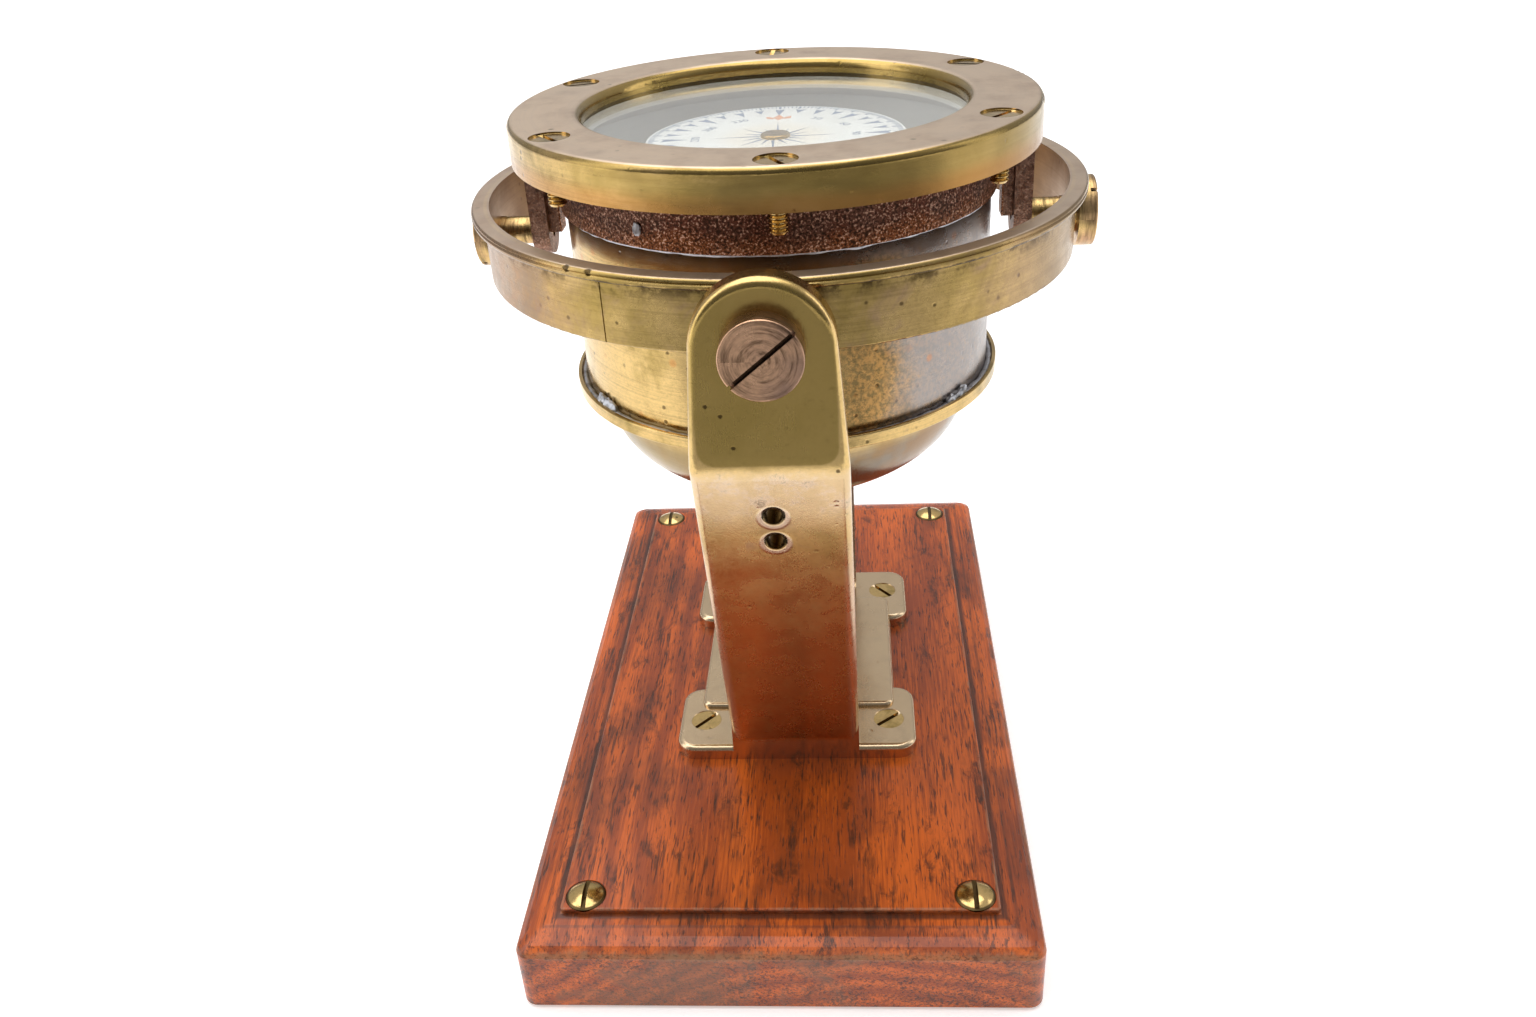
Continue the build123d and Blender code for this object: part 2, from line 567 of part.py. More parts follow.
def pivot_needle():
    """Hard steel point that the jewel turns on."""
    return spun((0, POST_TOP), (NEEDLE_RADIUS, POST_TOP), (NEEDLE_RADIUS, NEEDLE_TIP - 3), (0, NEEDLE_TIP))


def filler_boss():
    """Threaded boss at the back of the bowl for the filling plug."""
    boss = along_y(tube(BOSS_RADIUS, PLUG_RADIUS + RUNNING_FIT, TUBE_OUT - 2, BOSS_OUT))
    return Pos(0, 0, PLUG_Z) * boss - rod(TUBE_OUT + 0.02, -CUT, CUT)


def filler_washer():
    """Leather washer under the filling plug's head."""
    ring = along_y(tube(BOSS_RADIUS - 0.5, PLUG_RADIUS + RUNNING_FIT, BOSS_OUT, BOSS_OUT + WASHER_THICK))
    return Pos(0, 0, PLUG_Z) * ring


def filler_plug():
    """Slotted plug that closes the filling hole."""
    seat = BOSS_OUT + WASHER_THICK
    head = rod(BOSS_RADIUS - 0.7, seat, seat + PLUG_HEAD_THICK)
    head = fillet(head.faces().sort_by(Axis.Z)[-1].edges(), 0.5)
    head -= slot(1.1, 1.2, seat + PLUG_HEAD_THICK, 20)
    return Pos(0, 0, PLUG_Z) * along_y(head + rod(PLUG_RADIUS, TUBE_IN + 0.2, seat))


# ================================================================ card
def card_float():
    """Upper shell of the float that takes the card's weight off the needle."""
    high = CARD_TOP - CARD_THICK
    outer = spun((CUP_RADIUS + 0.05, FLOAT_BOTTOM), (FLOAT_RADIUS, FLOAT_BOTTOM), (FLOAT_RADIUS - 1, FLOAT_BOTTOM + 4),
                 (FLOAT_RADIUS - 5, high), (CUP_RADIUS + 0.05, high))
    inner = spun((CUP_RADIUS + 0.05 + FLOAT_WALL, FLOAT_BOTTOM - 1), (FLOAT_RADIUS - FLOAT_WALL, FLOAT_BOTTOM - 1),
                 (FLOAT_RADIUS - FLOAT_WALL, FLOAT_BOTTOM), (FLOAT_RADIUS - 1 - FLOAT_WALL, FLOAT_BOTTOM + 4),
                 (FLOAT_RADIUS - 5 - FLOAT_WALL, high - FLOAT_WALL),
                 (CUP_RADIUS + 0.05 + FLOAT_WALL, high - FLOAT_WALL))
    return outer - inner


def magnets():
    """Two bar magnets side by side, along the card's north and south line."""
    bars = []
    for side in (-1, 1):
        bar = along_y(rod(MAGNET_RADIUS, -MAGNET_LENGTH / 2, MAGNET_LENGTH / 2))
        bar = chamfer(bar.edges().filter_by(GeomType.CIRCLE), 0.3)
        bars.append(Pos(side * MAGNET_SPREAD, 0, FLOAT_BOTTOM - 2 * FLOAT_WALL - MAGNET_RADIUS) * bar)
    return bars


def jewel_cup():
    """Brass cup in the card's middle that holds the jewel."""
    outer = rod(CUP_RADIUS, CUP_BOTTOM - 2, CARD_TOP) + rod(CUP_RADIUS + 1.4, CARD_TOP, CARD_TOP + 0.9)
    outer = fillet(outer.faces().sort_by(Axis.Z)[-1].edges(), 0.6)
    return outer - rod(CUP_BORE, CUP_BOTTOM - 3, JEWEL_BOTTOM + JEWEL_THICK)


stand = {
    "base_board": [base_board()],
    "base_corner_screws": base_corner_screws(),
    "fork_casting": fork_casting(),
    "foot_plate_screws": foot_plate_screws(),
    "front_pivot_screw": [PIVOT * Rot(0, 0, 180) * along_y(fork_pivot_screw())],
    "rear_pivot_screw": [PIVOT * along_y(fork_pivot_screw())],
    "front_spacer": [PIVOT * Rot(0, 0, 180) * along_y(fork_spacer())],
    "rear_spacer": [PIVOT * along_y(fork_spacer())],
}
gimbal = {
    "gimbal_ring": [PIVOT * gimbal_ring()],
    "left_pivot_screw": [PIVOT * Rot(0, 0, 180) * along_x(ring_pivot_screw(LEFT_HEAD_THICK))],
    "right_pivot_screw": [PIVOT * along_x(ring_pivot_screw(RIGHT_HEAD_THICK))],
    "left_pivot_washer": [PIVOT * Rot(0, 0, 180) * along_x(ring_washer())],
    "right_pivot_washer": [PIVOT * along_x(ring_washer())],
}
bowl = {
    "rim_casting": [PIVOT * rim_casting()],
    "bowl_tube": [PIVOT * bowl_tube()],
    "bowl_bottom": [PIVOT * bowl_bottom()],
    "solder_tabs": [PIVOT * tab for tab in solder_tabs()],
    "bezel_ring": [PIVOT * bezel_ring()],
    "bezel_screws": [PIVOT * screw for screw in bezel_screws()],
    "cover_glass": [PIVOT * rod(GLASS_RADIUS, BEZEL_SEAT + GASKET_THICK, BEZEL_SEAT + GASKET_THICK + GLASS_THICK)],
    "glass_gasket": [PIVOT * tube(GLASS_RADIUS, RIM_MOUTH, BEZEL_SEAT, BEZEL_SEAT + GASKET_THICK)],
    "lubber_line": [PIVOT * lubber_line()],
    "expansion_diaphragm": [PIVOT * expansion_diaphragm()],
    "diaphragm_clamp": [PIVOT * tube(DIAPHRAGM_RADIUS, CLAMP_IN, TUBE_BOTTOM + DIAPHRAGM_THICK,
                                     TUBE_BOTTOM + DIAPHRAGM_THICK + CLAMP_THICK)],
    "pivot_bridge": [PIVOT * inner_bridge()],
    "pivot_post": [PIVOT * pivot_post()],
    "pivot_needle": [PIVOT * pivot_needle()],
    "ballast_weight": [PIVOT * ballast_weight()],
    "filler_boss": [PIVOT * filler_boss()],
    "filler_washer": [PIVOT * filler_washer()],
    "filler_plug": [PIVOT * filler_plug()],
}
card = {
    "compass_card": [PIVOT * tube(CARD_RADIUS, CUP_RADIUS + RUNNING_FIT, CARD_TOP - CARD_THICK, CARD_TOP)],
    "card_float": [PIVOT * card_float()],
    "float_base": [PIVOT * tube(FLOAT_RADIUS, CUP_RADIUS + RUNNING_FIT, FLOAT_BOTTOM - 2 * FLOAT_WALL, FLOAT_BOTTOM)],
    "jewel_cup": [PIVOT * jewel_cup()],
    "jewel": [PIVOT * rod(CUP_BORE - 0.05, JEWEL_BOTTOM, JEWEL_BOTTOM + JEWEL_THICK)],
    "card_magnets": [PIVOT * bar for bar in magnets()],
}

os.makedirs("parts", exist_ok=True)
for body in (stand, gimbal, bowl, card):
    for name, solids in body.items():
        shape = solids[0] if len(solids) == 1 else Compound(children=solids)
        export_step(shape, f"parts/{name}.step")
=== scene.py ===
"""Looks for a gimballed binnacle compass, laid out as a Blender add-on and run as a script.

The loaded frame holds the compass's brass, wood and glass parts in their places.  Each operator
here finishes a group of like parts, or adds the pieces that are too small or too irregular for
the frame: solder and printed marks.  Burrs are worked into the brass finishes.  Lengths in the code are
metres unless a name says mm.
"""
import json
import math
import random

import bmesh
import bpy
from bpy.props import FloatProperty, FloatVectorProperty, IntProperty, PointerProperty
from mathutils import Matrix, Vector, noise


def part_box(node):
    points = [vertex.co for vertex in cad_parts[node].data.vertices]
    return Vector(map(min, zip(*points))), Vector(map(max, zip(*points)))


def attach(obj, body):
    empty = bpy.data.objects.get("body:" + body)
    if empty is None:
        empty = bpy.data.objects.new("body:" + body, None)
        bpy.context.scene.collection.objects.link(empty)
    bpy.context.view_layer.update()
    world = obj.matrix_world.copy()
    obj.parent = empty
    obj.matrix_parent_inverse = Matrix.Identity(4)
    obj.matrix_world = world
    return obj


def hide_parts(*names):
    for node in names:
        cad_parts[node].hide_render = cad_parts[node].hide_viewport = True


bl_info = {
    "name": "Binnacle Compass",
    "version": (1, 0, 0),
    "blender": (4, 5, 0),
    "location": "View3D > Sidebar > Compass",
    "description": "Finishes and small pieces of a gimballed binnacle compass",
    "category": "Object",
}

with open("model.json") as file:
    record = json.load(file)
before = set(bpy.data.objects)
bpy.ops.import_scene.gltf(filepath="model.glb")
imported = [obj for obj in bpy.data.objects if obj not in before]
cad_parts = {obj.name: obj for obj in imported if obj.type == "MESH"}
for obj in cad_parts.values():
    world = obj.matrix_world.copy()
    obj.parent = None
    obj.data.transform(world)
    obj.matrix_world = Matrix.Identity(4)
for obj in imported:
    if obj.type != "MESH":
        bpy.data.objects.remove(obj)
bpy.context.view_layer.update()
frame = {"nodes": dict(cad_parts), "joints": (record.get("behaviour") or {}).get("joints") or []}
PIVOT = Vector(frame["joints"][0]["pos_m"])
MM = 0.001
BEZEL_REACH = (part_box("bezel_ring")[1].x - PIVOT.x) / MM      # outer radii, in millimetres
BEZEL_FOOT = (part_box("bezel_ring")[0].z - PIVOT.z) / MM       # heights over the pivot, in millimetres
BEZEL_MOUTH = 55.6                                            # the rounded mouth lies inside this radius
TUBE_REACH = (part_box("bowl_tube")[1].x - PIVOT.x) / MM
RING_LIP = (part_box("gimbal_ring")[1].x - PIVOT.x) / MM
RING_BAND = RING_LIP - 2.9
RING_TOP = (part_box("gimbal_ring")[1].z - PIVOT.z) / MM
RIM_FOOT = 10.0                                               # the rim casting's lower edge, over the pivot
ARM_FACE = (PIVOT.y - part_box("fork_casting")[0].y) / MM       # an arm's outer face, from the pivot
ARM_BEND = 29.0                                               # the arms' bend, below the pivot
LAMP_HOLES = (44.8, 53.8)                                     # the lamp bracket's holes, below the pivot
PANEL = (58.25, 105.0)                                        # half width and length of the raised panel
CARD_POINTS, STAR_POINTS = 32, 16


def paint(red, green, blue):
    """Screen colour, 0 to 255, as the linear colour that Blender works in."""
    parts = [value / 255 for value in (red, green, blue)]
    return tuple(v / 12.92 if v <= 0.04045 else ((v + 0.055) / 1.055) ** 2.4 for v in parts)


def colour_property(name, description, screen):
    """A colour that a user can change."""
    return FloatVectorProperty(name=name, description=description, default=paint(*screen),
                               subtype="COLOR", size=3, min=0.0, max=1.0)


def length_property(name, description, millimetres):
    """A length that a user can change."""
    return FloatProperty(name=name, description=description, default=millimetres * MM,
                         unit="LENGTH", subtype="DISTANCE")


# ------------------------------------------------------------------ user settings
class CompassColours(bpy.types.PropertyGroup):
    """Colours of the metals, the wood and the print."""

    gold: colour_property("Gold brass", "Clean polished brass", (210, 178, 118))
    # Olive also paints the reflection on the bezel's front and the fork's upper arms, and the shade on the
    # bezel's right.
    olive: colour_property("Olive brass", "Brass that has dulled", (156, 132, 74))
    # Rose also paints the reflection on upward faces and the highlight at the fork's bend.
    rose: colour_property("Rose brass", "Brushed brass with a pink cast", (216, 196, 176))
    plum: colour_property("Plum tarnish", "Purple brown tarnish", (158, 128, 112))
    slate: colour_property("Slate tarnish", "Blue grey tarnish of heated brass", (146, 144, 146))
    # Copper also paints the red board's reflection on the fork's slopes.
    copper: colour_property("Copper tarnish", "Orange brown tarnish", (204, 128, 66))
    # Umber also paints shade in driver slots, under the ring's lip, in the lamp holes and on the right of the
    # bezel.
    umber: colour_property("Umber", "Dirt in pits and corners", (46, 32, 20))
    bronze: colour_property("Cast bronze", "Rough rim casting", (128, 74, 56))
    # Spark is the colour of the glints painted on the casting's grains.
    spark: colour_property("Cast grains", "Bright grains of the casting", (250, 206, 178))
    screw: colour_property("Turned bronze", "Large turned screw heads", (206, 164, 132))
    solder: colour_property("Solder", "Old soft solder", (198, 200, 206))
    mahogany: colour_property("Mahogany", "Main colour of the board", (158, 68, 18))
    ember: colour_property("Red grain", "Redder grain of the board", (226, 106, 24))
    shadow: colour_property("Dark grain", "Dark streaks of the board", (50, 26, 14))
    worn: colour_property("Worn wood", "Paler rubbed edges", (158, 118, 86))
    enamel: colour_property("Enamel", "White enamel of the bowl and the card", (248, 248, 242))
    ink: colour_property("Ink", "Blue grey print on the card", (122, 136, 160))
    jewel_ink: colour_property("Ornament", "Orange ornament on the card's north", (236, 160, 104))
    floor: colour_property("Floor", "Pale studio floor", (250, 250, 250))


class CompassSizes(bpy.types.PropertyGroup):
    """Sizes of the added pieces, and the studio."""

    solder_bead: length_property("Solder bead", "Half thickness of the solder line under the rim", 0.7)
    solder_drop: length_property("Solder drop", "Radius of the drop on the rim", 1.2)
    print_rise: length_property("Print height", "Thickness of the ink on the card", 0.04)
    grain_ring: length_property("Growth ring", "Distance between the board's growth rings", 3.2)
    key_power: FloatProperty(name="Top light", description="Power of the large overhead light",
                             default=11.0, min=0.0, unit="POWER")
    side_power: FloatProperty(name="Side lights", description="Power of each side light",
                              default=3.0, min=0.0, unit="POWER")
    camera_lens: FloatProperty(name="Lens", description="Focal length of the camera",
                               default=29.81, min=10.0, unit="CAMERA")
    camera_yaw: FloatProperty(name="Camera turn", description="Turn of the camera to the left",
                              default=math.radians(4.52), unit="ROTATION")
    camera_dip: FloatProperty(name="Camera dip", description="How far the camera looks down",
                              default=math.radians(29.79), unit="ROTATION")
    camera_roll: FloatProperty(name="Camera roll", description="Lean of the camera about its view",
                               default=math.radians(-3.44), unit="ROTATION")
    camera_place: FloatVectorProperty(name="Camera place", description="Where the camera stands",
                                      default=(0.022456, -0.341603, 0.282096), size=3,
                                      unit="LENGTH", subtype="TRANSLATION")
    solder_seed: IntProperty(name="Solder seed", description="Seed of the solder's lumps", default=7)


# ------------------------------------------------------------------ shader helpers
class Wire:
    """A value in a material's tree.  Arithmetic on it adds Math nodes."""

    def __init__(self, shop, socket):
        self.shop = shop
        self.socket = socket

    def __add__(self, other):
        return self.shop.maths("ADD", self, other)

    def __radd__(self, other):
        return self.shop.maths("ADD", other, self)

    def __sub__(self, other):
        return self.shop.maths("SUBTRACT", self, other)

    def __rsub__(self, other):
        return self.shop.maths("SUBTRACT", other, self)

    def __mul__(self, other):
        return self.shop.maths("MULTIPLY", self, other)

    def __rmul__(self, other):
        return self.shop.maths("MULTIPLY", other, self)

    def __truediv__(self, other):
        return self.shop.maths("DIVIDE", self, other)

    def __pow__(self, other):
        return self.shop.maths("POWER", self, other)


class Shop:
    """Builds a material around its Principled shader, or the world around its background."""

    def __init__(self, name, world=None, **fixed):
        self.material = world or bpy.data.materials.new(name)
        self.material.use_nodes = True
        self.tree = self.material.node_tree
        self.shader = self.tree.nodes["Background" if world else "Principled BSDF"]
        for socket, value in fixed.items():
            self.shader.inputs[socket.replace("_", " ")].default_value = value

    def node(self, kind, settings=None, inputs=None, output=0):
        """Add a node: its settings first, then the values or wires of its sockets."""
        made = self.tree.nodes.new(kind)
        for name, value in (settings or {}).items():
            if name == "stops":
                self.fill_ramp(made.color_ramp, value)
            else:
                setattr(made, name, value)
        for name, value in (inputs or {}).items():
            if isinstance(value, Wire):
                self.tree.links.new(value.socket, made.inputs[name])
            elif made.inputs[name].type == "RGBA":
                made.inputs[name].default_value = (*value[:3], 1)
            else:
                made.inputs[name].default_value = value
        return Wire(self, made.outputs[output])

    def fill_ramp(self, ramp, stops):
        """Set a colour ramp's stops from (position, colour) pairs."""
        while len(ramp.elements) < len(stops):
            ramp.elements.new(1.0)
        for element, (place, colour) in zip(ramp.elements, stops):
            element.position = place
            element.color = (*colour, 1)

    def maths(self, operation, *values):
        """One Math node on wires or numbers."""
        return self.node("ShaderNodeMath", {"operation": operation}, dict(enumerate(values)))

    def vector(self, operation, first, second, output=0):
        """One Vector Math node on wires or triples."""
        return self.node("ShaderNodeVectorMath", {"operation": operation}, {0: first, 1: second}, output)

    def ease(self, value, low, high):
        """0 below low, 1 above high, smooth between."""
        settings = {"interpolation_type": "SMOOTHSTEP"}
        return self.node("ShaderNodeMapRange", settings, {0: value, 1: low, 2: high})

    def band(self, value, rise, fall):
        """1 between two soft edges, each a pair of values, and 0 outside them."""
        return self.ease(value, *rise) * (1.0 - self.ease(value, *fall))

    def mix(self, share, first, second):
        """Mix two colours."""
        settings = {"data_type": "RGBA", "blend_type": "MIX", "clamp_result": True}
        return self.node("ShaderNodeMix", settings, {0: share, 6: first, 7: second}, 2)

    def place(self, centre=(0, 0, 0)):
        """Position on the part in millimetres from a centre."""
        here = self.node("ShaderNodeTexCoord", output="Object")
        return self.vector("MULTIPLY", self.vector("SUBTRACT", here, tuple(centre)), (1000, 1000, 1000))

    def facing(self):
        """Surface normal in the part's own space."""
        return self.node("ShaderNodeTexCoord", output="Normal")

    def axis(self, vector, index):
        """One of a vector's three values."""
        return self.node("ShaderNodeSeparateXYZ", inputs={0: vector}, output=index)

    def joined(self, x, y, z):
        """A vector from three values."""
        return self.node("ShaderNodeCombineXYZ", inputs={0: x, 1: y, 2: z})

    def cloud(self, where, size, seed, detail=3.0, rough=0.55, stretch=(1, 1, 1), warp=0.0):
        """Noise from 0 to 1 with features of a size in millimetres, longer along a stretched axis."""
        fit = self.vector("DIVIDE", where, tuple(size * s for s in stretch))
        inputs = {"Vector": fit, "W": seed, "Scale": 1.0, "Detail": detail, "Roughness": rough,
                  "Distortion": warp}
        return self.node("ShaderNodeTexNoise", {"noise_dimensions": "4D"}, inputs)

    def dots(self, where, size, share, seed):
        """Round specks: 1 in a share of the cells of a size in millimetres, 0 between."""
        shifted = self.vector("ADD", self.vector("DIVIDE", where, (size, size, size)), (seed, seed, seed))
        inputs = {"Vector": shifted, "Scale": 1.0}
        near = 1.0 - self.ease(self.node("ShaderNodeTexVoronoi", {}, inputs), 0.12, 0.3)
        pick = self.axis(self.node("ShaderNodeTexVoronoi", {}, inputs, "Color"), 0)
        return near * self.ease(pick, 1.0 - share, 1.0 - share + 0.05)

    def ring_place(self, centre, axis):
        """(distance from an axis, turn about it in radians, distance along it), in millimetres."""
        here = self.place(centre)
        across = [index for index in range(3) if index != axis]
        one, two = (self.axis(here, index) for index in across)
        return (one * one + two * two) ** 0.5, self.maths("ARCTAN2", two, one), self.axis(here, axis)

    def finish(self, colour, roughness, height=None, depth_mm=0.05, **others):
        """Feed the shader: colour, roughness, and a bump from a height."""
        feeds = {"Base Color": colour, "Roughness": roughness, **others}
        if height is not None:
            feeds["Normal"] = self.node("ShaderNodeBump", {}, {"Height": height, "Strength": 1.0,
                                                               "Distance": depth_mm * MM})
        for name, value in feeds.items():
            socket = self.shader.inputs[name.replace("_", " ")]
            if isinstance(value, Wire):
                self.tree.links.new(value.socket, socket)
            else:
                socket.default_value = (*value, 1) if socket.type == "RGBA" else value
        return self.material


def colours():
    """The colour settings as plain triples."""
    group = bpy.context.scene.compass_colours
    return {name: tuple(getattr(group, name)) for name in CompassColours.__annotations__}


def dress(node, material):
    """Give a frame part its finished material."""
    part = frame["nodes"][node]
    part.data.materials.clear()
    part.data.materials.append(material)


# ------------------------------------------------------------------ metals
class Skin:
    """Colour, roughness and height of a finish while its layers are laid on."""

    def __init__(self, shop, colour, sheen, relief):
        self.shop = shop
        self.colour = colour
        self.sheen = sheen
        self.relief = relief

    def stain(self, share, tone):
        """Lay a tone over the colour where the share is not 0."""
        self.colour = self.shop.mix(share, self.colour, tone)


def brushed_brass(name, seed, tones, rough, layers=(), grain=(1, 1, 1), blotch_mm=16.0, tarnish=0.45,
                  pits=0.1, depth_mm=0.03):
    """Old brass: a clean tone, two tarnish tones in soft blotches, fine scratches and dark pits.

    Each layer is a function of the shop and the skin that changes the skin.
    """
    hue = colours()
    clean, dull, deep = (hue[tone] for tone in tones)
    shop = Shop(name, Metallic=1.0)
    here = shop.place()
    broad = shop.cloud(here, blotch_mm, seed, 3.0, 0.6, warp=0.4)
    patch = shop.cloud(here, blotch_mm * 0.45, seed + 3.1, 4.0, 0.62, warp=0.8)
    fine = shop.cloud(here, 0.9, seed + 5.7, 4.0, 0.7)
    scratch = shop.cloud(here, 0.3, seed + 9.3, 2.0, 0.5, stretch=grain)
    speck = shop.dots(here, 2.6, pits, seed)
    dulled = shop.ease(broad, 0.62 - tarnish * 0.4, 0.72)
    stained = shop.ease(patch, 0.74 - tarnish * 0.3, 0.82)
    colour = shop.mix(dulled, clean, dull)
    colour = shop.mix(stained * 0.7, colour, deep)
    colour = shop.mix(shop.ease(fine, 0.42, 0.68) * 0.16, colour, hue["umber"])
    colour = shop.mix(speck * 0.7, colour, hue["umber"])
    low, high = rough
    sheen = low + (high - low) * shop.ease(patch * 0.5 + broad * 0.5, 0.35, 0.65) + (scratch - 0.5) * 0.1
    skin = Skin(shop, colour, sheen, fine * 0.5 + scratch * 0.5 - speck * 1.6)
    for layer in layers:
        layer(shop, skin)
    return shop.finish(skin.colour, skin.sheen, skin.relief, depth_mm)


def turning(seed, axis=2, centre=None, line_mm=0.5, dark=0.35, cut_depth=0.3):
    """Layer of fine lathe lines round an axis."""
    def lay(shop, skin):
        reach, turn, along = shop.ring_place(PIVOT if centre is None else centre, axis)
        cut = shop.cloud(shop.joined(reach, along, turn * 0.8), line_mm, seed, 3.0, 0.6)
        skin.stain(shop.ease(cut, 0.4, 0.75) * dark, colours()["umber"])
        skin.sheen = skin.sheen + (cut - 0.5) * 0.14
        skin.relief = skin.relief + cut * cut_depth

    return lay


def pale_top(seed, level=0.8, share=0.85, rough=0.4):
    """Layer that turns upward faces matt, and paints them pale and rosy: a painted reflection of the bright
    space above.
    """
    def lay(shop, skin):
        hue = colours()
        here = shop.place()
        up = shop.ease(shop.axis(shop.facing(), 2), level, level + 0.15)
        soft = shop.cloud(here, 9.0, seed, 3.0, 0.6)
        rosy = shop.mix(shop.ease(soft, 0.4, 0.75) * 0.4, hue["rose"], hue["plum"])
        rosy = shop.mix(shop.dots(here, 3.4, 0.05, seed) * 0.6, rosy, hue["umber"])
        # Painted reflection: upward faces paler and rosier.
        skin.stain(up * share, rosy)
        skin.sheen = shop.maths("MULTIPLY_ADD", up, rough - skin.sheen, skin.sheen)

    return lay


def spots(points, radius_mm, tone="umber", depth=2.0):
    """Layer of single dents or pits at chosen places, in millimetres in the frame."""
    def lay(shop, skin):
        here = shop.place()
        ragged = shop.cloud(here, 0.6, 7.0, 3.0, 0.7) * 0.8 + 0.6
        for point in points:
            gap = shop.vector("DISTANCE", here, tuple(point), "Value") * ragged
            hole = 1.0 - shop.ease(gap, radius_mm * 0.5, radius_mm)
            skin.stain(hole * 0.8, colours()[tone])
            skin.relief = skin.relief - hole * depth

    return lay


def slot_dirt(top, axis=2, reach_mm=None, shallow=0.18):
    """Layer that darkens a driver slot's floor with painted shade.

    The top is the head's place along the axis, and shallow is where the painted shade starts under it, in
    millimetres.
    """
    def lay(shop, skin):
        centre = PIVOT if reach_mm else (0, 0, 0)
        reach, _, along = shop.ring_place(centre, axis)
        depth = top - shop.maths("ABSOLUTE", along)
        # Painted shade in the slot, darker below the head's face.
        slot_floor_shade = shop.band(depth, (shallow, shallow + 0.2), (1.9, 2.1))
        if reach_mm:
            slot_floor_shade = slot_floor_shade * (1.0 - shop.ease(reach, reach_mm - 0.5, reach_mm - 0.2))        # inside the head
        skin.stain(slot_floor_shade * 0.85, colours()["umber"])
        skin.sheen = skin.sheen + slot_floor_shade * 0.2

    return lay


def bezel_edges(shop, skin):
    """Layer on the bezel: olive front of the side as painted reflection, painted shade on the right of the
    side, coppery foot, olive mouth.
    """
    hue = colours()
    reach, turn, along = shop.ring_place(PIVOT, 2)
    wave = shop.cloud(shop.joined(turn * 20.0, along, 0.0), 7.0, 14.0, 3.0, 0.6)
    side = shop.ease(reach, BEZEL_REACH - 1.0, BEZEL_REACH - 0.4)
    # Painted reflection: the front of the side goes olive, as it mirrors the dark front, broken by smudges.
    front = shop.ease(shop.maths("COSINE", turn + math.radians(96)), 0.7, 0.98)
    skin.stain(side * front * shop.ease(wave, 0.25, 0.5) * 0.8, hue["olive"])
    # Painted shade: the right of the side goes olive and umber.
    right = shop.ease(shop.maths("COSINE", turn + math.radians(40)), 0.55, 0.95)
    skin.stain(side * right * 0.8, hue["olive"])
    skin.stain(side * right * 0.15, hue["umber"])
    low = 1.0 - shop.ease(along + (wave - 0.5) * 4.0, BEZEL_FOOT + 1.0, BEZEL_FOOT + 5.9)
    skin.stain(side * low * 0.34, hue["copper"])
    # Umber smudges, with painted dark reflection on the front.
    smudge_and_dark_reflection = 0.1 + low * 0.14 + front * shop.ease(wave, 0.45, 0.65) * 0.2
    skin.stain(side * smudge_and_dark_reflection, hue["umber"])
    mouth = 1.0 - shop.ease(reach, BEZEL_MOUTH - 1.0, BEZEL_MOUTH)
    skin.stain(mouth * 0.7, hue["olive"])


class FinishBezel(bpy.types.Operator):
    """Bezel ring: brushed face painted rosy as a reflection, rounded polished mouth, olive sides partly
    painted reflection and shade
    """

    bl_idname = "compass.finish_bezel"
    bl_label = "Bezel ring"

    def execute(self, context):
        layers = (turning(31.5), bezel_edges, pale_top(12.0))
        finish = brushed_brass("Bezel brass", 11.0, ("gold", "olive", "plum"), (0.14, 0.28), layers,
                               tarnish=0.5, pits=0.12)
        dress("bezel_ring", finish)
        return {"FINISHED"}


def ring_stains(shop, skin):
    """Layer on the gimbal ring: painted shade and a painted shadow line under the lip, plum and copper heat
    tints on its left.
    """
    hue = colours()
    here = shop.place(PIVOT)
    reach, _, along = shop.ring_place(PIVOT, 2)
    x = shop.axis(here, 0)
    smoke = shop.cloud(here, 6.0, 26.0, 4.0, 0.7)
    outside = shop.ease(reach, RING_BAND - 0.7, RING_BAND - 0.2)
    under = shop.band(along, (RING_TOP - 8.0, RING_TOP - 2.9), (RING_TOP - 2.3, RING_TOP - 1.7))
    left = 1.0 - shop.ease(x + (smoke - 0.5) * 30.0, -66.0, -38.0)
    tint = shop.mix(shop.ease(smoke, 0.4, 0.6) * 0.3, hue["plum"], hue["copper"])
    skin.stain(left * outside * 0.65, tint)
    right = shop.ease(x + (smoke - 0.5) * 30.0, 40.0, 64.0)
    skin.stain(right * outside * 0.4, hue["plum"])
    skin.stain((left + right) * outside * 0.2, hue["umber"])
    # Painted shade under the lip, patchy.
    skin.stain(outside * under * shop.ease(smoke, 0.42, 0.6) * 0.85, hue["umber"])
    # Painted shadow line right under the lip.
    line = shop.band(along, (RING_TOP - 3.6, RING_TOP - 3.0), (RING_TOP - 2.6, RING_TOP - 2.2))
    skin.stain(outside * line * 0.8, hue["umber"])
    inside = 1.0 - shop.ease(reach, RING_BAND - 1.6, RING_BAND - 1.2)
    skin.stain(inside * 0.7, hue["plum"])
    skin.sheen = skin.sheen + inside * 0.12


class FinishGimbalRing(bpy.types.Operator):
    """Blotched band of the gimbal ring with painted shade under its half-round lip, whose top is painted rosy
    as a reflection
    """

    bl_idname = "compass.finish_gimbal_ring"
    bl_label = "Gimbal ring"

    def execute(self, context):
        edge = RING_LIP - 0.5
        nicks = [PIVOT / MM + Vector((edge * math.cos(turn), edge * math.sin(turn), RING_TOP - 0.6))
                 for turn in (math.radians(-123.6), math.radians(-119.0))]
        layers = (turning(24.5, dark=0.25), ring_stains, pale_top(24.0, share=0.7),
                  spots(nicks, 1.1, "umber", 5.0))
        finish = brushed_brass("Ring brass", 23.0, ("gold", "olive", "plum"), (0.2, 0.34), layers,
                               tarnish=0.75, blotch_mm=22.0)
        for node in ("gimbal_ring", "diaphragm_clamp", "expansion_diaphragm", "pivot_bridge"):
            dress(node, finish)
        return {"FINISHED"}


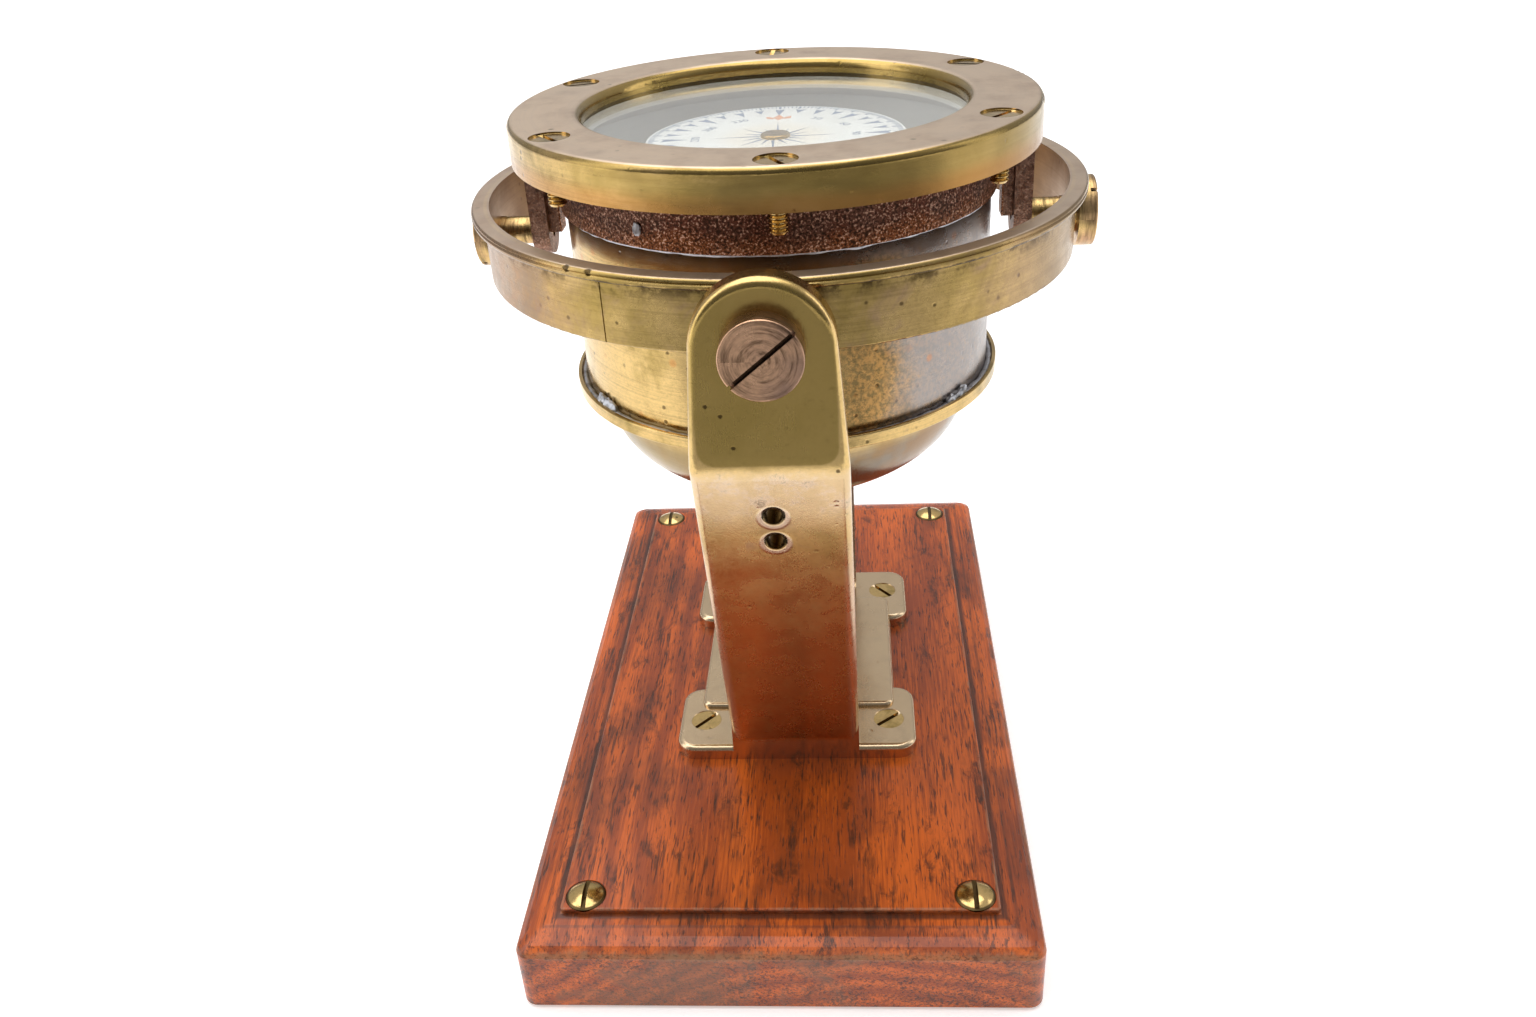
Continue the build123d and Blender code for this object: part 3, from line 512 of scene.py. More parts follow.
def bowl_stains(shop, skin):
    """Layer on the bowl's wall: enamel inside, speckles and slate on the right, dark under the rim."""
    hue = colours()
    here = shop.place(PIVOT)
    reach, _, along = shop.ring_place(PIVOT, 2)
    x = shop.axis(here, 0)
    freckle = shop.cloud(here, 1.3, 34.0, 4.0, 0.75)
    drift = shop.cloud(here, 12.0, 35.0, 3.0, 0.6)
    inside = 1.0 - shop.ease(reach, TUBE_REACH - 0.8, TUBE_REACH - 0.4)
    right = shop.ease(x + (drift - 0.5) * 16.0, 6.0, 22.0)
    grey = shop.ease(x + (drift - 0.5) * 18.0, 24.0, 40.0)
    rusty = shop.mix(0.45, hue["copper"], hue["olive"])
    speckled = shop.mix(shop.ease(freckle, 0.4, 0.6), hue["umber"], rusty)
    skin.stain(right * 0.62, speckled)
    skin.stain(grey * (1.0 - shop.ease(freckle, 0.6, 0.72) * 0.7) * 0.8, hue["slate"])
    rust = shop.dots(here, 5.0, 0.3, 33.0)
    skin.stain(rust * 0.4, hue["copper"])
    # Slate and umber bands right under the rim.
    under_rim_slate = shop.ease(along + (freckle - 0.5) * 3.0, 4.0, 8.0)
    skin.stain(under_rim_slate * 0.75, hue["slate"])
    under_rim_umber = shop.ease(along, 6.5, 9.5)
    skin.stain(under_rim_umber * 0.6, hue["umber"])
    foot = 1.0 - shop.ease(along + (freckle - 0.5) * 4.0, -40.5, -36.5)
    skin.stain(foot * 0.2, hue["umber"])
    skin.stain(inside, hue["enamel"])
    skin.sheen = skin.sheen + right * 0.08 + inside * 0.1
    shop.tree.links.new((1.0 - inside).socket, shop.shader.inputs["Metallic"])


def pan_stains(shop, skin):
    """Layer on the bottom pan: slate and plum tarnish on the dome, clean brass on the rolled rim."""
    hue = colours()
    here = shop.place(PIVOT)
    _, _, along = shop.ring_place(PIVOT, 2)
    drift = shop.cloud(here, 14.0, 38.0, 3.0, 0.6)
    dome = 1.0 - shop.ease(along + (drift - 0.5) * 4.0, -50.0, -44.0)
    right = shop.ease(shop.axis(here, 0) + (drift - 0.5) * 30.0, 0.0, 34.0)
    tint = shop.mix(shop.ease(drift, 0.4, 0.62), hue["plum"], hue["slate"])
    skin.stain(dome * 0.6, hue["olive"])
    skin.stain(dome * (0.2 + right * 0.45), tint)
    skin.stain(dome * 0.24, hue["umber"])
    root = shop.band(along, (-46.5, -43.5), (-42.6, -42.2))
    skin.stain(root * 0.15, hue["umber"])


class FinishBowl(bpy.types.Operator):
    """Golden spotted bowl wall and bottom pan, enamelled white inside"""

    bl_idname = "compass.finish_bowl"
    bl_label = "Bowl wall and bottom"

    def execute(self, context):
        dress("bowl_tube", brushed_brass("Bowl brass", 31.0, ("gold", "olive", "copper"), (0.14, 0.28),
                                         (turning(51.5, dark=0.2), bowl_stains), tarnish=0.3, pits=0.2))
        dress("bowl_bottom", brushed_brass("Pan brass", 37.0, ("gold", "olive", "plum"), (0.14, 0.26),
                                           (turning(57.5, dark=0.2), pan_stains), tarnish=0.4, pits=0.08))
        return {"FINISHED"}


class FinishRimCasting(bpy.types.Operator):
    """Rough coppery casting under the bezel, with bright grains that are painted glints"""

    bl_idname = "compass.finish_rim_casting"
    bl_label = "Rim casting"

    def execute(self, context):
        hue = colours()
        shop = Shop("Cast bronze", Metallic=0.9)
        here = shop.place()
        grain = shop.cloud(here, 0.62, 41.0, 2.0, 0.6)
        fine = shop.cloud(here, 0.3, 44.0, 2.0, 0.6)
        lump = shop.cloud(here, 2.2, 42.0, 3.0, 0.6)
        broad = shop.cloud(here, 12.0, 43.0, 2.0, 0.5)
        reach, _, along = shop.ring_place(PIVOT, 2)
        inside = 1.0 - shop.ease(reach, TUBE_REACH + 0.2, TUBE_REACH + 0.5)
        low = 1.0 - shop.ease(along + (broad - 0.5) * 8.0, RIM_FOOT + 0.5, RIM_FOOT + 6.0)
        colour = shop.mix(shop.ease(broad, 0.4, 0.62) * 0.3, hue["bronze"], hue["plum"])
        skin = Skin(shop, colour, 0.34 + lump * 0.2, grain + fine * 0.3 + lump * 0.5)
        skin.stain((1.0 - low) * 0.35, hue["umber"])
        skin.stain(low * 0.4, hue["copper"])
        skin.stain((1.0 - shop.ease(grain, 0.4, 0.52)) * 0.85, hue["umber"])
        # Painted glints on the casting's grains.
        grain_glints = shop.ease(grain + (fine - 0.5) * 0.3, 0.56, 0.64)
        skin.stain(grain_glints * (0.6 + low * 0.4), hue["spark"])
        lug_reach, lug_top, lug_half = 60.6, 22.0, 7.6                # where the lugs stand clear of the rim
        lugs = shop.ease(reach, lug_reach, lug_reach + 0.6) * (1.0 - shop.ease(along, lug_top, lug_top + 0.6))
        across = shop.maths("ABSOLUTE", shop.axis(shop.place(PIVOT), 1))
        lugs = lugs * (1.0 - shop.ease(across, lug_half, lug_half + 0.6))
        cast = shop.mix(shop.ease(lump, 0.4, 0.65) * 0.6, hue["plum"], hue["umber"])
        skin.stain(lugs * 0.7, cast)
        skin.stain(inside, hue["enamel"])
        material = shop.finish(skin.colour, skin.sheen, skin.relief, 0.3, Metallic=0.9 - inside * 0.9)
        dress("rim_casting", material)
        return {"FINISHED"}


def fork_tones(shop, skin):
    """Layer on the fork: olive outer faces over the bend, partly tarnish and partly painted reflection; a
    painted highlight at the bend; a copper slope, painted reflection of the red board; pale foot plate;
    painted shade in the lamp holes.
    """
    hue = colours()
    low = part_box("fork_casting")[0].z / MM
    here = shop.place((PIVOT.x, PIVOT.y, 0))
    x, level = shop.axis(here, 0), shop.axis(here, 2)
    out = shop.maths("ABSOLUTE", shop.axis(here, 1))
    mottle = shop.cloud(here, 6.0, 52.0, 5.0, 0.7)
    freckle = shop.cloud(here, 1.1, 53.0, 3.0, 0.75)
    bend = PIVOT.z / MM - ARM_BEND
    slope = shop.ease(bend - level + (mottle - 0.5) * 20.0, 14.0, 48.0)
    fade = shop.ease(bend - level + (mottle - 0.5) * 12.0, 10.0, 24.0)
    # Painted highlight along the bend.
    bright = shop.ease(bend - level, -1.0, 3.0) * (1.0 - fade)
    foot = 1.0 - shop.ease(level, low + 6.5, low + 8.0)
    # The olive panel is partly tarnish and partly painted reflection of the dark front.
    panel_half, panel_low, panel_round = 11.6, bend + 5.6, 4.0        # olive panel with rounded lower corners
    side = shop.maths("MAXIMUM", shop.maths("ABSOLUTE", x) - panel_half, 0.0)
    below = shop.maths("MAXIMUM", panel_low - level, 0.0)
    panel = 1.0 - shop.ease((side * side + below * below) ** 0.5, panel_round, panel_round + 0.8)
    panel = panel * shop.ease(out, ARM_FACE - 0.8, ARM_FACE - 0.3)
    skin.stain(panel * 0.85, hue["olive"])
    skin.stain(panel * shop.ease(freckle, 0.55, 0.75) * 0.25, hue["umber"])
    skin.stain(bright * 0.8, hue["gold"])
    skin.stain(bright * (0.35 + shop.ease(mottle, 0.45, 0.6) * 0.35), hue["rose"])
    cloudy = bright * shop.ease(mottle, 0.56, 0.64) * shop.ease(freckle, 0.4, 0.6)
    skin.stain(cloudy * 0.5, hue["umber"])
    # Painted reflection of the red board: copper on the slope below the bend, with freckles.
    arm = shop.mix(0.4 + shop.ease(mottle, 0.4, 0.7) * 0.3, hue["copper"], hue["gold"])
    arm = shop.mix(shop.ease(freckle, 0.5, 0.72) * 0.14, arm, hue["umber"])
    skin.stain(slope * (1.0 - foot) * 0.8, arm)
    rim = shop.ease(shop.maths("ABSOLUTE", x), 15.6, 17.4) * slope * (1.0 - foot)
    skin.stain(rim * 0.6, hue["rose"])
    plate = shop.mix(shop.ease(mottle, 0.45, 0.7) * 0.4, hue["gold"], hue["olive"])
    plate = shop.mix(0.6, plate, hue["rose"])
    skin.stain(foot * 0.92, plate)
    skin.sheen = skin.sheen + slope * 0.04 - foot * 0.06
    for drop in LAMP_HOLES:
        across = (x * x + (level - (PIVOT.z / MM - drop)) ** 2.0) ** 0.5
        burr = shop.band(across, (2.4, 2.9), (3.6, 4.4))
        skin.stain(burr * 0.7, hue["rose"])
        # Painted shade inside each lamp hole.
        skin.stain((1.0 - shop.ease(across, 2.0, 2.6)) * 0.9, hue["umber"])
        skin.relief = skin.relief + burr * 3.0


class FinishBracket(bpy.types.Operator):
    """Satin olive fork, the olive partly painted reflection, whose arms are painted copper below the bend as
    the red board's reflection, on a paler foot plate
    """

    bl_idname = "compass.finish_bracket"
    bl_label = "Forked bracket"

    def execute(self, context):
        corner = Vector((PIVOT.x / MM, PIVOT.y / MM - ARM_FACE, PIVOT.z / MM))
        pits = [corner + Vector(place) for place in
                ((-13.2, 0.0, -12.6), (-10.0, 0.0, -15.0), (15.6, 0.2, -29.6),
                 (14.0, 17.0, -68.0), (-7.6, 0.0, -23.0))]
        burr = [corner + Vector(place) for place in ((9.2, 0.4, 14.6), (11.4, 0.4, 13.3))]
        layers = (fork_tones, spots(pits, 0.7), spots(burr, 1.2, "umber", 6.0))
        finish = brushed_brass("Fork brass", 51.0, ("gold", "olive", "plum"), (0.17, 0.3), layers,
                               tarnish=0.45, pits=0.12, blotch_mm=20.0, grain=(1, 1, 14))
        dress("fork_casting", finish)
        dress("filler_boss", brushed_brass("Boss brass", 55.0, ("gold", "olive", "plum"), (0.2, 0.34)))
        return {"FINISHED"}


def bright_brass(name, seed, layers=()):
    """Finish of the small turned brass pieces."""
    return brushed_brass(name, seed, ("gold", "olive", "copper"), (0.1, 0.24), layers, tarnish=0.35, pits=0.1,
                         blotch_mm=6.0)


class FinishScrews(bpy.types.Operator):
    """Turned heads of the pivot screws, and the small bright brass screws"""

    bl_idname = "compass.finish_screws"
    bl_label = "Screws, spacers and washers"

    def execute(self, context):
        pivot_screws = {"front_pivot_screw": 1, "rear_pivot_screw": 1,
                        "left_pivot_screw": 0, "right_pivot_screw": 0}
        for index, (node, axis) in enumerate(pivot_screws.items()):
            low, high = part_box(node)
            head = (high.z - low.z) / 2 / MM
            face = max(abs(low[axis] - PIVOT[axis]), abs(high[axis] - PIVOT[axis])) / MM
            layers = (turning(65.5 + index, axis, line_mm=0.9, dark=0.8, cut_depth=2.2),
                      slot_dirt(face, axis, head - 0.6))
            tones = ("screw", "plum", "plum") if axis == 1 else ("gold", "screw", "plum")
            name = "Turned bronze " + node.split("_")[0]
            dress(node, brushed_brass(name, 61.0 + index, tones, (0.26, 0.38), layers, tarnish=0.5, pits=0.03,
                                      depth_mm=0.06))
        shallow = {"base_corner_screws": 1.2, "foot_plate_screws": 0.7, "bezel_screws": 0.9}
        for seed, (node, start) in enumerate(shallow.items(), 75):
            layers = (slot_dirt(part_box(node)[1].z / MM, shallow=start),)
            dress(node, bright_brass("Slotted brass " + node, seed, layers))
        plain = bright_brass("Bright brass", 71.0)
        for node in ("front_spacer", "rear_spacer", "left_pivot_washer", "right_pivot_washer",
                     "filler_plug", "lubber_line", "pivot_post", "jewel_cup"):
            dress(node, plain)
        return {"FINISHED"}


# ------------------------------------------------------------------ wood
class FinishBoard(bpy.types.Operator):
    """Varnished mahogany with growth rings, pores, dark streaks, rubbed edges and painted shade in the
    moulding
    """

    bl_idname = "compass.finish_board"
    bl_label = "Base board"

    def execute(self, context):
        hue = colours()
        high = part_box("base_board")[1] / MM
        ring_mm = context.scene.compass_sizes.grain_ring / MM
        shop = Shop("Varnished mahogany", Specular_IOR_Level=0.28, Coat_Roughness=0.2)
        here = shop.place()
        x, z = shop.axis(here, 0), shop.axis(here, 2)
        pith_x, pith_z = 24.0, -95.0                                  # heart of the tree, under the board
        pith = ((x - pith_x) * (x - pith_x) + (z - pith_z) * (z - pith_z)) ** 0.5
        drift = shop.cloud(here, 60.0, 81.0, 3.0, 0.5, stretch=(1, 3, 1))
        rings = shop.maths("PINGPONG", pith / ring_mm + drift * 9.0, 1.0)
        fibre = shop.cloud(here, 0.7, 82.0, 3.0, 0.65, stretch=(1, 26, 1))
        pores = shop.ease(shop.cloud(here, 0.55, 83.0, 2.0, 0.5, stretch=(1, 10, 1)), 0.58, 0.66)
        stain = shop.cloud(here, 30.0, 86.0, 4.0, 0.62, stretch=(1, 1.5, 1), warp=0.8)
        blotch = shop.cloud(here, 8.0, 84.0, 5.0, 0.72, stretch=(1, 2.4, 1), warp=0.6)
        mottle = shop.cloud(here, 3.0, 85.0, 4.0, 0.7, stretch=(1, 3, 1))
        thread = shop.cloud(here, 1.0, 88.0, 3.0, 0.6, stretch=(1, 14, 1))
        bunch = shop.cloud(here, 13.0, 89.0, 3.0, 0.6, stretch=(1, 1.6, 1))
        streak = shop.ease(thread, 0.52, 0.6) * shop.ease(bunch, 0.44, 0.6)
        grain = shop.ease(rings * 0.25 + fibre * 0.75, 0.38, 0.66)
        skin = Skin(shop, shop.mix(grain * 0.8, hue["mahogany"], hue["ember"]), 0.32 + mottle * 0.2,
                    fibre * 0.3 + mottle * 0.5 - pores * 0.9 - streak * 0.6)
        skin.stain(shop.ease(stain, 0.48, 0.68) * 0.45, hue["shadow"])
        skin.stain(shop.ease(blotch, 0.54, 0.66) * 0.6, hue["shadow"])
        skin.stain(streak * 0.7, hue["shadow"])
        skin.stain(shop.ease(fibre * 0.6 + blotch * 0.4, 0.56, 0.64) * 0.6, hue["shadow"])
        skin.stain(pores * 0.7, hue["shadow"])

        away_x = shop.maths("ABSOLUTE", x)
        away_y = shop.maths("ABSOLUTE", shop.axis(here, 1))
        panel = shop.maths("MAXIMUM", away_x - PANEL[0], away_y - PANEL[1])
        # Painted shade in the moulding's groove and cove.
        groove_shade = shop.ease(panel, -0.3, 0.2) * (1.0 - shop.ease(panel + mottle * 1.2, 1.6, 2.8))
        cove_shade = shop.ease(panel, 3.4, 3.8) * (1.0 - shop.ease(panel + mottle, 4.6, 5.2))
        skin.stain((groove_shade + cove_shade * 0.5) * 0.75, hue["shadow"])
        # Pale crest along the panel's edge: partly wear, partly painted highlight.
        crest_wear_and_highlight = shop.band(panel, (-1.1, -0.5), (-0.2, 0.1)) * shop.ease(mottle, 0.4, 0.6)
        skin.stain(crest_wear_and_highlight * 0.5, hue["worn"])

        shoulder_level = 19.6                                         # upper edge of the board's sides
        border = shop.maths("MAXIMUM", away_x - high.x, away_y - high.y)
        rim = shop.ease(border + (mottle - 0.5) * 4.0, -2.4, 0.2)
        foot = 1.0 - shop.ease(z + (mottle - 0.5) * 3.0, 0.4, 2.0)
        shoulder = shop.maths("ABSOLUTE", z - shoulder_level) + (blotch - 0.5) * 6.0
        worn = shop.maths("MAXIMUM", foot, rim * (1.0 - shop.ease(shoulder, 0.2, 1.6)))
        skin.stain(worn * (0.35 + mottle * 0.5), hue["worn"])
        end = shop.ease(away_y, high.y - 0.8, high.y - 0.3)
        speck = shop.cloud(here, 0.8, 87.0, 3.0, 0.7, stretch=(1.6, 1, 1))
        skin.stain(end * shop.ease(speck, 0.5, 0.62) * 0.65, hue["shadow"])
        skin.stain(end * shop.ease(stain, 0.45, 0.6) * 0.25, hue["worn"])
        skin.relief = skin.relief - end * speck * 1.2 + worn * mottle * 2.0
        material = shop.finish(skin.colour, skin.sheen, skin.relief, 0.08, Coat_Weight=0.45 - worn * 0.3)
        dress("base_board", material)
        return {"FINISHED"}


# ------------------------------------------------------------------ glass, card and inner works
class FinishGlass(bpy.types.Operator):
    """Clear cover glass with a faint film"""

    bl_idname = "compass.finish_glass"
    bl_label = "Cover glass"

    def execute(self, context):
        shop = Shop("Cover glass", Transmission_Weight=1.0, IOR=1.5)
        film = shop.cloud(shop.place(), 18.0, 91.0, 4.0, 0.6)
        material = shop.finish((0.99, 1.0, 1.0), shop.ease(film, 0.45, 0.9) * 0.04)
        lamp = shop.node("ShaderNodeLightPath", output="Is Shadow Ray")
        clear = shop.node("ShaderNodeBsdfTransparent", inputs={"Color": (0.99, 1.0, 1.0)})
        surface = Wire(shop, shop.shader.outputs[0])
        both = shop.node("ShaderNodeMixShader", inputs={0: lamp, 1: surface, 2: clear})
        out = shop.tree.nodes["Material Output"]
        shop.tree.links.new(both.socket, out.inputs["Surface"])
        dress("cover_glass", material)
        return {"FINISHED"}


class FinishInnerWorks(bpy.types.Operator):
    """Rubber, leather, lead, steel, magnets and the float"""

    bl_idname = "compass.finish_inner_works"
    bl_label = "Inner works and seals"

    def execute(self, context):
        looks = {
            "Black rubber": (("glass_gasket",), (30, 26, 24), (52, 44, 38), 0.62, 0.0),
            "Worn leather": (("filler_washer",), (84, 50, 30), (128, 84, 52), 0.7, 0.0),
            "Cast lead": (("ballast_weight",), (96, 98, 102), (140, 142, 146), 0.55, 1.0),
            "Hard steel": (("pivot_needle",), (150, 152, 156), (190, 192, 196), 0.2, 1.0),
            "Blued steel": (("card_magnets",), (38, 42, 56), (78, 84, 100), 0.34, 1.0),
            "Float metal": (("card_float", "float_base"), (190, 170, 130), (214, 200, 168), 0.36, 1.0),
            "Blue stone": (("jewel",), (120, 140, 190), (170, 190, 226), 0.1, 0.0),
        }
        for index, (name, (nodes, dark, light, rough, metal)) in enumerate(looks.items()):
            shop = Shop(name, Metallic=metal)
            wide = shop.cloud(shop.place(), 4.0, 101.0 + index, 4.0, 0.6)
            fine = shop.cloud(shop.place(), 0.5, 111.0 + index, 3.0, 0.6)
            colour = shop.mix(wide * 0.6 + fine * 0.4, paint(*dark), paint(*light))
            material = shop.finish(colour, rough + (wide - 0.5) * 0.16, fine, 0.04)
            for node in nodes:
                dress(node, material)
        return {"FINISHED"}


def enamel_material(name, seed, centre_mm):
    """White enamel, a little yellowed and crazed, creamy near the centre."""
    hue = colours()
    shop = Shop(name)
    wide = shop.cloud(shop.place(), 12.0, seed, 3.0, 0.6)
    fine = shop.cloud(shop.place(), 0.8, seed + 1.0, 3.0, 0.6)
    colour = shop.mix(shop.ease(wide, 0.4, 0.8) * 0.25, hue["enamel"], paint(206, 200, 184))
    reach, _, _ = shop.ring_place(PIVOT, 2)
    cream = 1.0 - shop.ease(reach + (wide - 0.5) * 6.0, centre_mm - 5.0, centre_mm + 3.0)
    colour = shop.mix(cream * 0.5, colour, paint(246, 232, 206))
    return shop.finish(colour, 0.34 + wide * 0.14, fine, 0.01)


def ink_material(name, colour, seed):
    """Printed ink, thinner in places."""
    hue = colours()
    shop = Shop(name)
    wear = shop.cloud(shop.place(), 1.4, seed, 4.0, 0.7)
    return shop.finish(shop.mix(shop.ease(wear, 0.5, 0.8) * 0.4, colour, hue["enamel"]), 0.45 + wear * 0.2)


def new_piece(name, mesh_maker, material, body, smooth=True):
    """Make a mesh object from a filled bmesh and hang it on a body."""
    mesh = bpy.data.meshes.new(name)
    built = bmesh.new()
    mesh_maker(built)
    bmesh.ops.recalc_face_normals(built, faces=built.faces)
    built.to_mesh(mesh)
    built.free()
    for face in mesh.polygons:
        face.use_smooth = smooth
    piece = bpy.data.objects.new(name, mesh)
    bpy.context.scene.collection.objects.link(piece)
    mesh.materials.append(material)
    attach(piece, body)
    return piece


def raised_outline(built, points, low, high):
    """Flat printed shape: a closed outline given a little thickness."""
    bottom = [built.verts.new((x, y, low)) for x, y in points]
    top = [built.verts.new((x, y, high)) for x, y in points]
    built.faces.new(bottom[::-1])
    built.faces.new(top)
    for index in range(len(points)):
        after = (index + 1) % len(points)
        built.faces.new((bottom[index], bottom[after], top[after], top[index]))


def around(radius, degrees):
    """Point on the card, clockwise from its north."""
    turn = math.radians(degrees)
    return PIVOT.x + radius * math.sin(turn), PIVOT.y + radius * math.cos(turn)


class PrintCard(bpy.types.Operator):
    """Degree ring, compass star, numbers and the north ornament of the card"""

    bl_idname = "compass.print_card"
    bl_label = "Compass card"

    def execute(self, context):
        hue = colours()
        dress("compass_card", enamel_material("Card enamel", 121.0, centre_mm=15.0))
        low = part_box("compass_card")[1].z
        high = low + context.scene.compass_sizes.print_rise
        outer = (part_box("compass_card")[1].x - PIVOT.x) - 0.6 * MM

        def ticks(built):
            for degrees in range(0, 360, 2):
                length, half = (2.6, 0.34) if degrees % 10 == 0 else (1.4, 0.2)
                wide, foot = math.degrees(half * MM / outer), outer - length * MM
                points = [around(outer, degrees - wide), around(outer, degrees + wide),
                          around(foot, degrees + wide), around(foot, degrees - wide)]
                raised_outline(built, points, low, high)
            for step in range(CARD_POINTS):
                degrees, span = step * 360 / CARD_POINTS, 2.6
                deep = (7.2 if step % 4 == 0 else 5.6 if step % 2 == 0 else 4.4) * MM
                top = outer - 3.4 * MM
                points = [around(top, degrees - span), around(top - 0.8 * MM, degrees),
                          around(top, degrees + span), around(top - deep, degrees)]
                raised_outline(built, points, low, high)

        def star(built):
            for step in range(STAR_POINTS):
                degrees, half = step * 360 / STAR_POINTS, 180 / STAR_POINTS
                reach = (16.0 if step % 4 == 0 else 12.5 if step % 2 == 0 else 9.0) * MM
                points = [around(reach, degrees), around(4.6 * MM, degrees + half), around(4.0 * MM, degrees)]
                raised_outline(built, points, low, high)

        def numbers(built):
            for degrees in range(30, 360, 30):
                written = bpy.data.curves.new("number", "FONT")
                written.body = str(degrees)
                written.size = 3.4 * MM
                written.align_x = written.align_y = "CENTER"
                written.extrude = (high - low) / 2
                holder = bpy.data.objects.new("number", written)
                shape = bpy.data.meshes.new_from_object(holder)
                x, y = around(21.5 * MM, degrees)
                shape.transform(Matrix.Translation((x, y, (low + high) / 2)) @
                                Matrix.Rotation(-math.radians(degrees), 4, "Z"))
                built.from_mesh(shape)
                bpy.data.objects.remove(holder)
                bpy.data.curves.remove(written)
                bpy.data.meshes.remove(shape)

        def ornament(built):
            tip, waist, foot, top = 24.5 * MM, 21.0 * MM, 18.4 * MM, high + 0.02 * MM
            diamond = [around(tip, 0), around(waist, 4.5), around(foot, 0), around(waist, -4.5)]
            raised_outline(built, diamond, low, top)
            for side in (-1, 1):
                leaf = [around(21.8 * MM, side * 5.0), around(23.0 * MM, side * 9.0),
                        around(20.6 * MM, side * 9.5), around(19.6 * MM, side * 4.0)]
                raised_outline(built, leaf[::side], low, top)

        prints = (("card_degree_marks", ticks, "Blue grey ink", hue["ink"], 131.0),
                  ("card_numbers", numbers, "Number ink", hue["ink"], 134.0),
                  ("card_star", star, "Star ink", hue["ink"], 132.0),
                  ("card_ornament", ornament, "Ornament ink", hue["jewel_ink"], 133.0))
        for name, maker, ink, tone, seed in prints:
            new_piece(name, maker, ink_material(ink, tone, seed), "card", smooth=False)
        return {"FINISHED"}


# ------------------------------------------------------------------ solder
def solder_material():
    """Dull grey solder with brown flux in its hollows."""
    hue = colours()
    shop = Shop("Old solder", Metallic=0.85)
    here = shop.place()
    wide = shop.cloud(here, 3.0, 141.0, 4.0, 0.6)
    fine = shop.cloud(here, 0.5, 142.0, 3.0, 0.6)
    colour = shop.mix(shop.ease(wide, 0.48, 0.7) * 0.55, hue["solder"], hue["umber"])
    return shop.finish(colour, 0.3 + fine * 0.3, fine * 0.6 + wide, 0.12)


def about_pivot(reach, turn, level):
    """Point at a distance and an angle about the upright line through the pivot."""
    return Vector((PIVOT.x + reach * math.cos(turn), PIVOT.y + reach * math.sin(turn), level))


def lump(built, centre, radii, turn, seed):
    """Rounded irregular blob."""
    made = bmesh.ops.create_icosphere(built, subdivisions=4, radius=1.0)
    spin = Matrix.Rotation(turn, 3, "Z")
    for vert in made["verts"]:
        swell = 1.0 + 0.34 * noise.noise(vert.co * 1.7 + Vector((seed, 0, 0)))
        shaped = Vector((vert.co.x * radii[0], vert.co.y * radii[1], vert.co.z * radii[2])) * swell
        vert.co = centre + spin @ shaped


class AddSolder(bpy.types.Operator):
    """Solder line under the rim casting, a run drop, and the tacks on the bottom pan"""

    bl_idname = "compass.add_solder"
    bl_label = "Solder"

    def execute(self, context):
        sizes = context.scene.compass_sizes
        material = solder_material()
        draw = random.Random(sizes.solder_seed)
        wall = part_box("bowl_tube")[1].x - PIVOT.x
        seam = PIVOT.z + RIM_FOOT * MM
        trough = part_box("solder_tabs")[0].z

        def bead(built, radius, level, rise):
            """Uneven run of solder all round the bowl."""
            steps, sides = 360, 10
            rows = []
            for step in range(steps):
                turn = 2 * math.pi * step / steps
                spot = Vector((math.cos(turn) * 5, math.sin(turn) * 5, 0))
                thick = rise * (1.0 + 0.5 * noise.noise(spot * 3.0))
                drop = 0.25 * MM * noise.noise(spot * 2.0 + Vector((9, 0, 0)))
                row = []
                for side in range(sides):
                    angle = 2 * math.pi * side / sides
                    reach = radius + thick * math.cos(angle)
                    place = about_pivot(reach, turn, level + drop + thick * math.sin(angle))
                    row.append(built.verts.new(place))
                rows.append(row)
            for first, second in zip(rows, rows[1:] + rows[:1]):
                for side in range(sides):
                    after = (side + 1) % sides
                    built.faces.new((first[side], second[side], second[after], first[after]))

        def rim_bead(built):
            bead(built, wall + 0.35 * MM, seam, sizes.solder_bead)

        def pan_bead(built):
            bead(built, wall + 0.8 * MM, trough + 1.2 * MM, 1.0 * MM)

        def tacks(built):
            for degrees in (-36, 33, 147, -144):
                for step in range(3):
                    turn = math.radians(degrees + (step - 1) * 2.6 + draw.uniform(-0.6, 0.6))
                    centre = about_pivot(wall + 0.7 * MM, turn, trough + draw.uniform(2.0, 2.8) * MM)
                    radii = (1.15 * MM, draw.uniform(2.0, 2.7) * MM, draw.uniform(1.6, 2.5) * MM)
                    lump(built, centre, radii, turn, draw.uniform(0, 50))

        def drop(built):
            turn = math.radians(-122)
            radii = (0.7 * MM, sizes.solder_drop, sizes.solder_drop * 1.3)
            lump(built, about_pivot(59.3 * MM, turn, seam + 4.6 * MM), radii, turn, 3.0)

        new_piece("rim_solder_line", rim_bead, material, "bowl")
        new_piece("pan_solder_line", pan_bead, material, "bowl")
        made = new_piece("pan_solder_tacks", tacks, material, "bowl")
        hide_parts("solder_tabs")
        new_piece("rim_solder_drop", drop, material, "bowl")
        return {"FINISHED"}


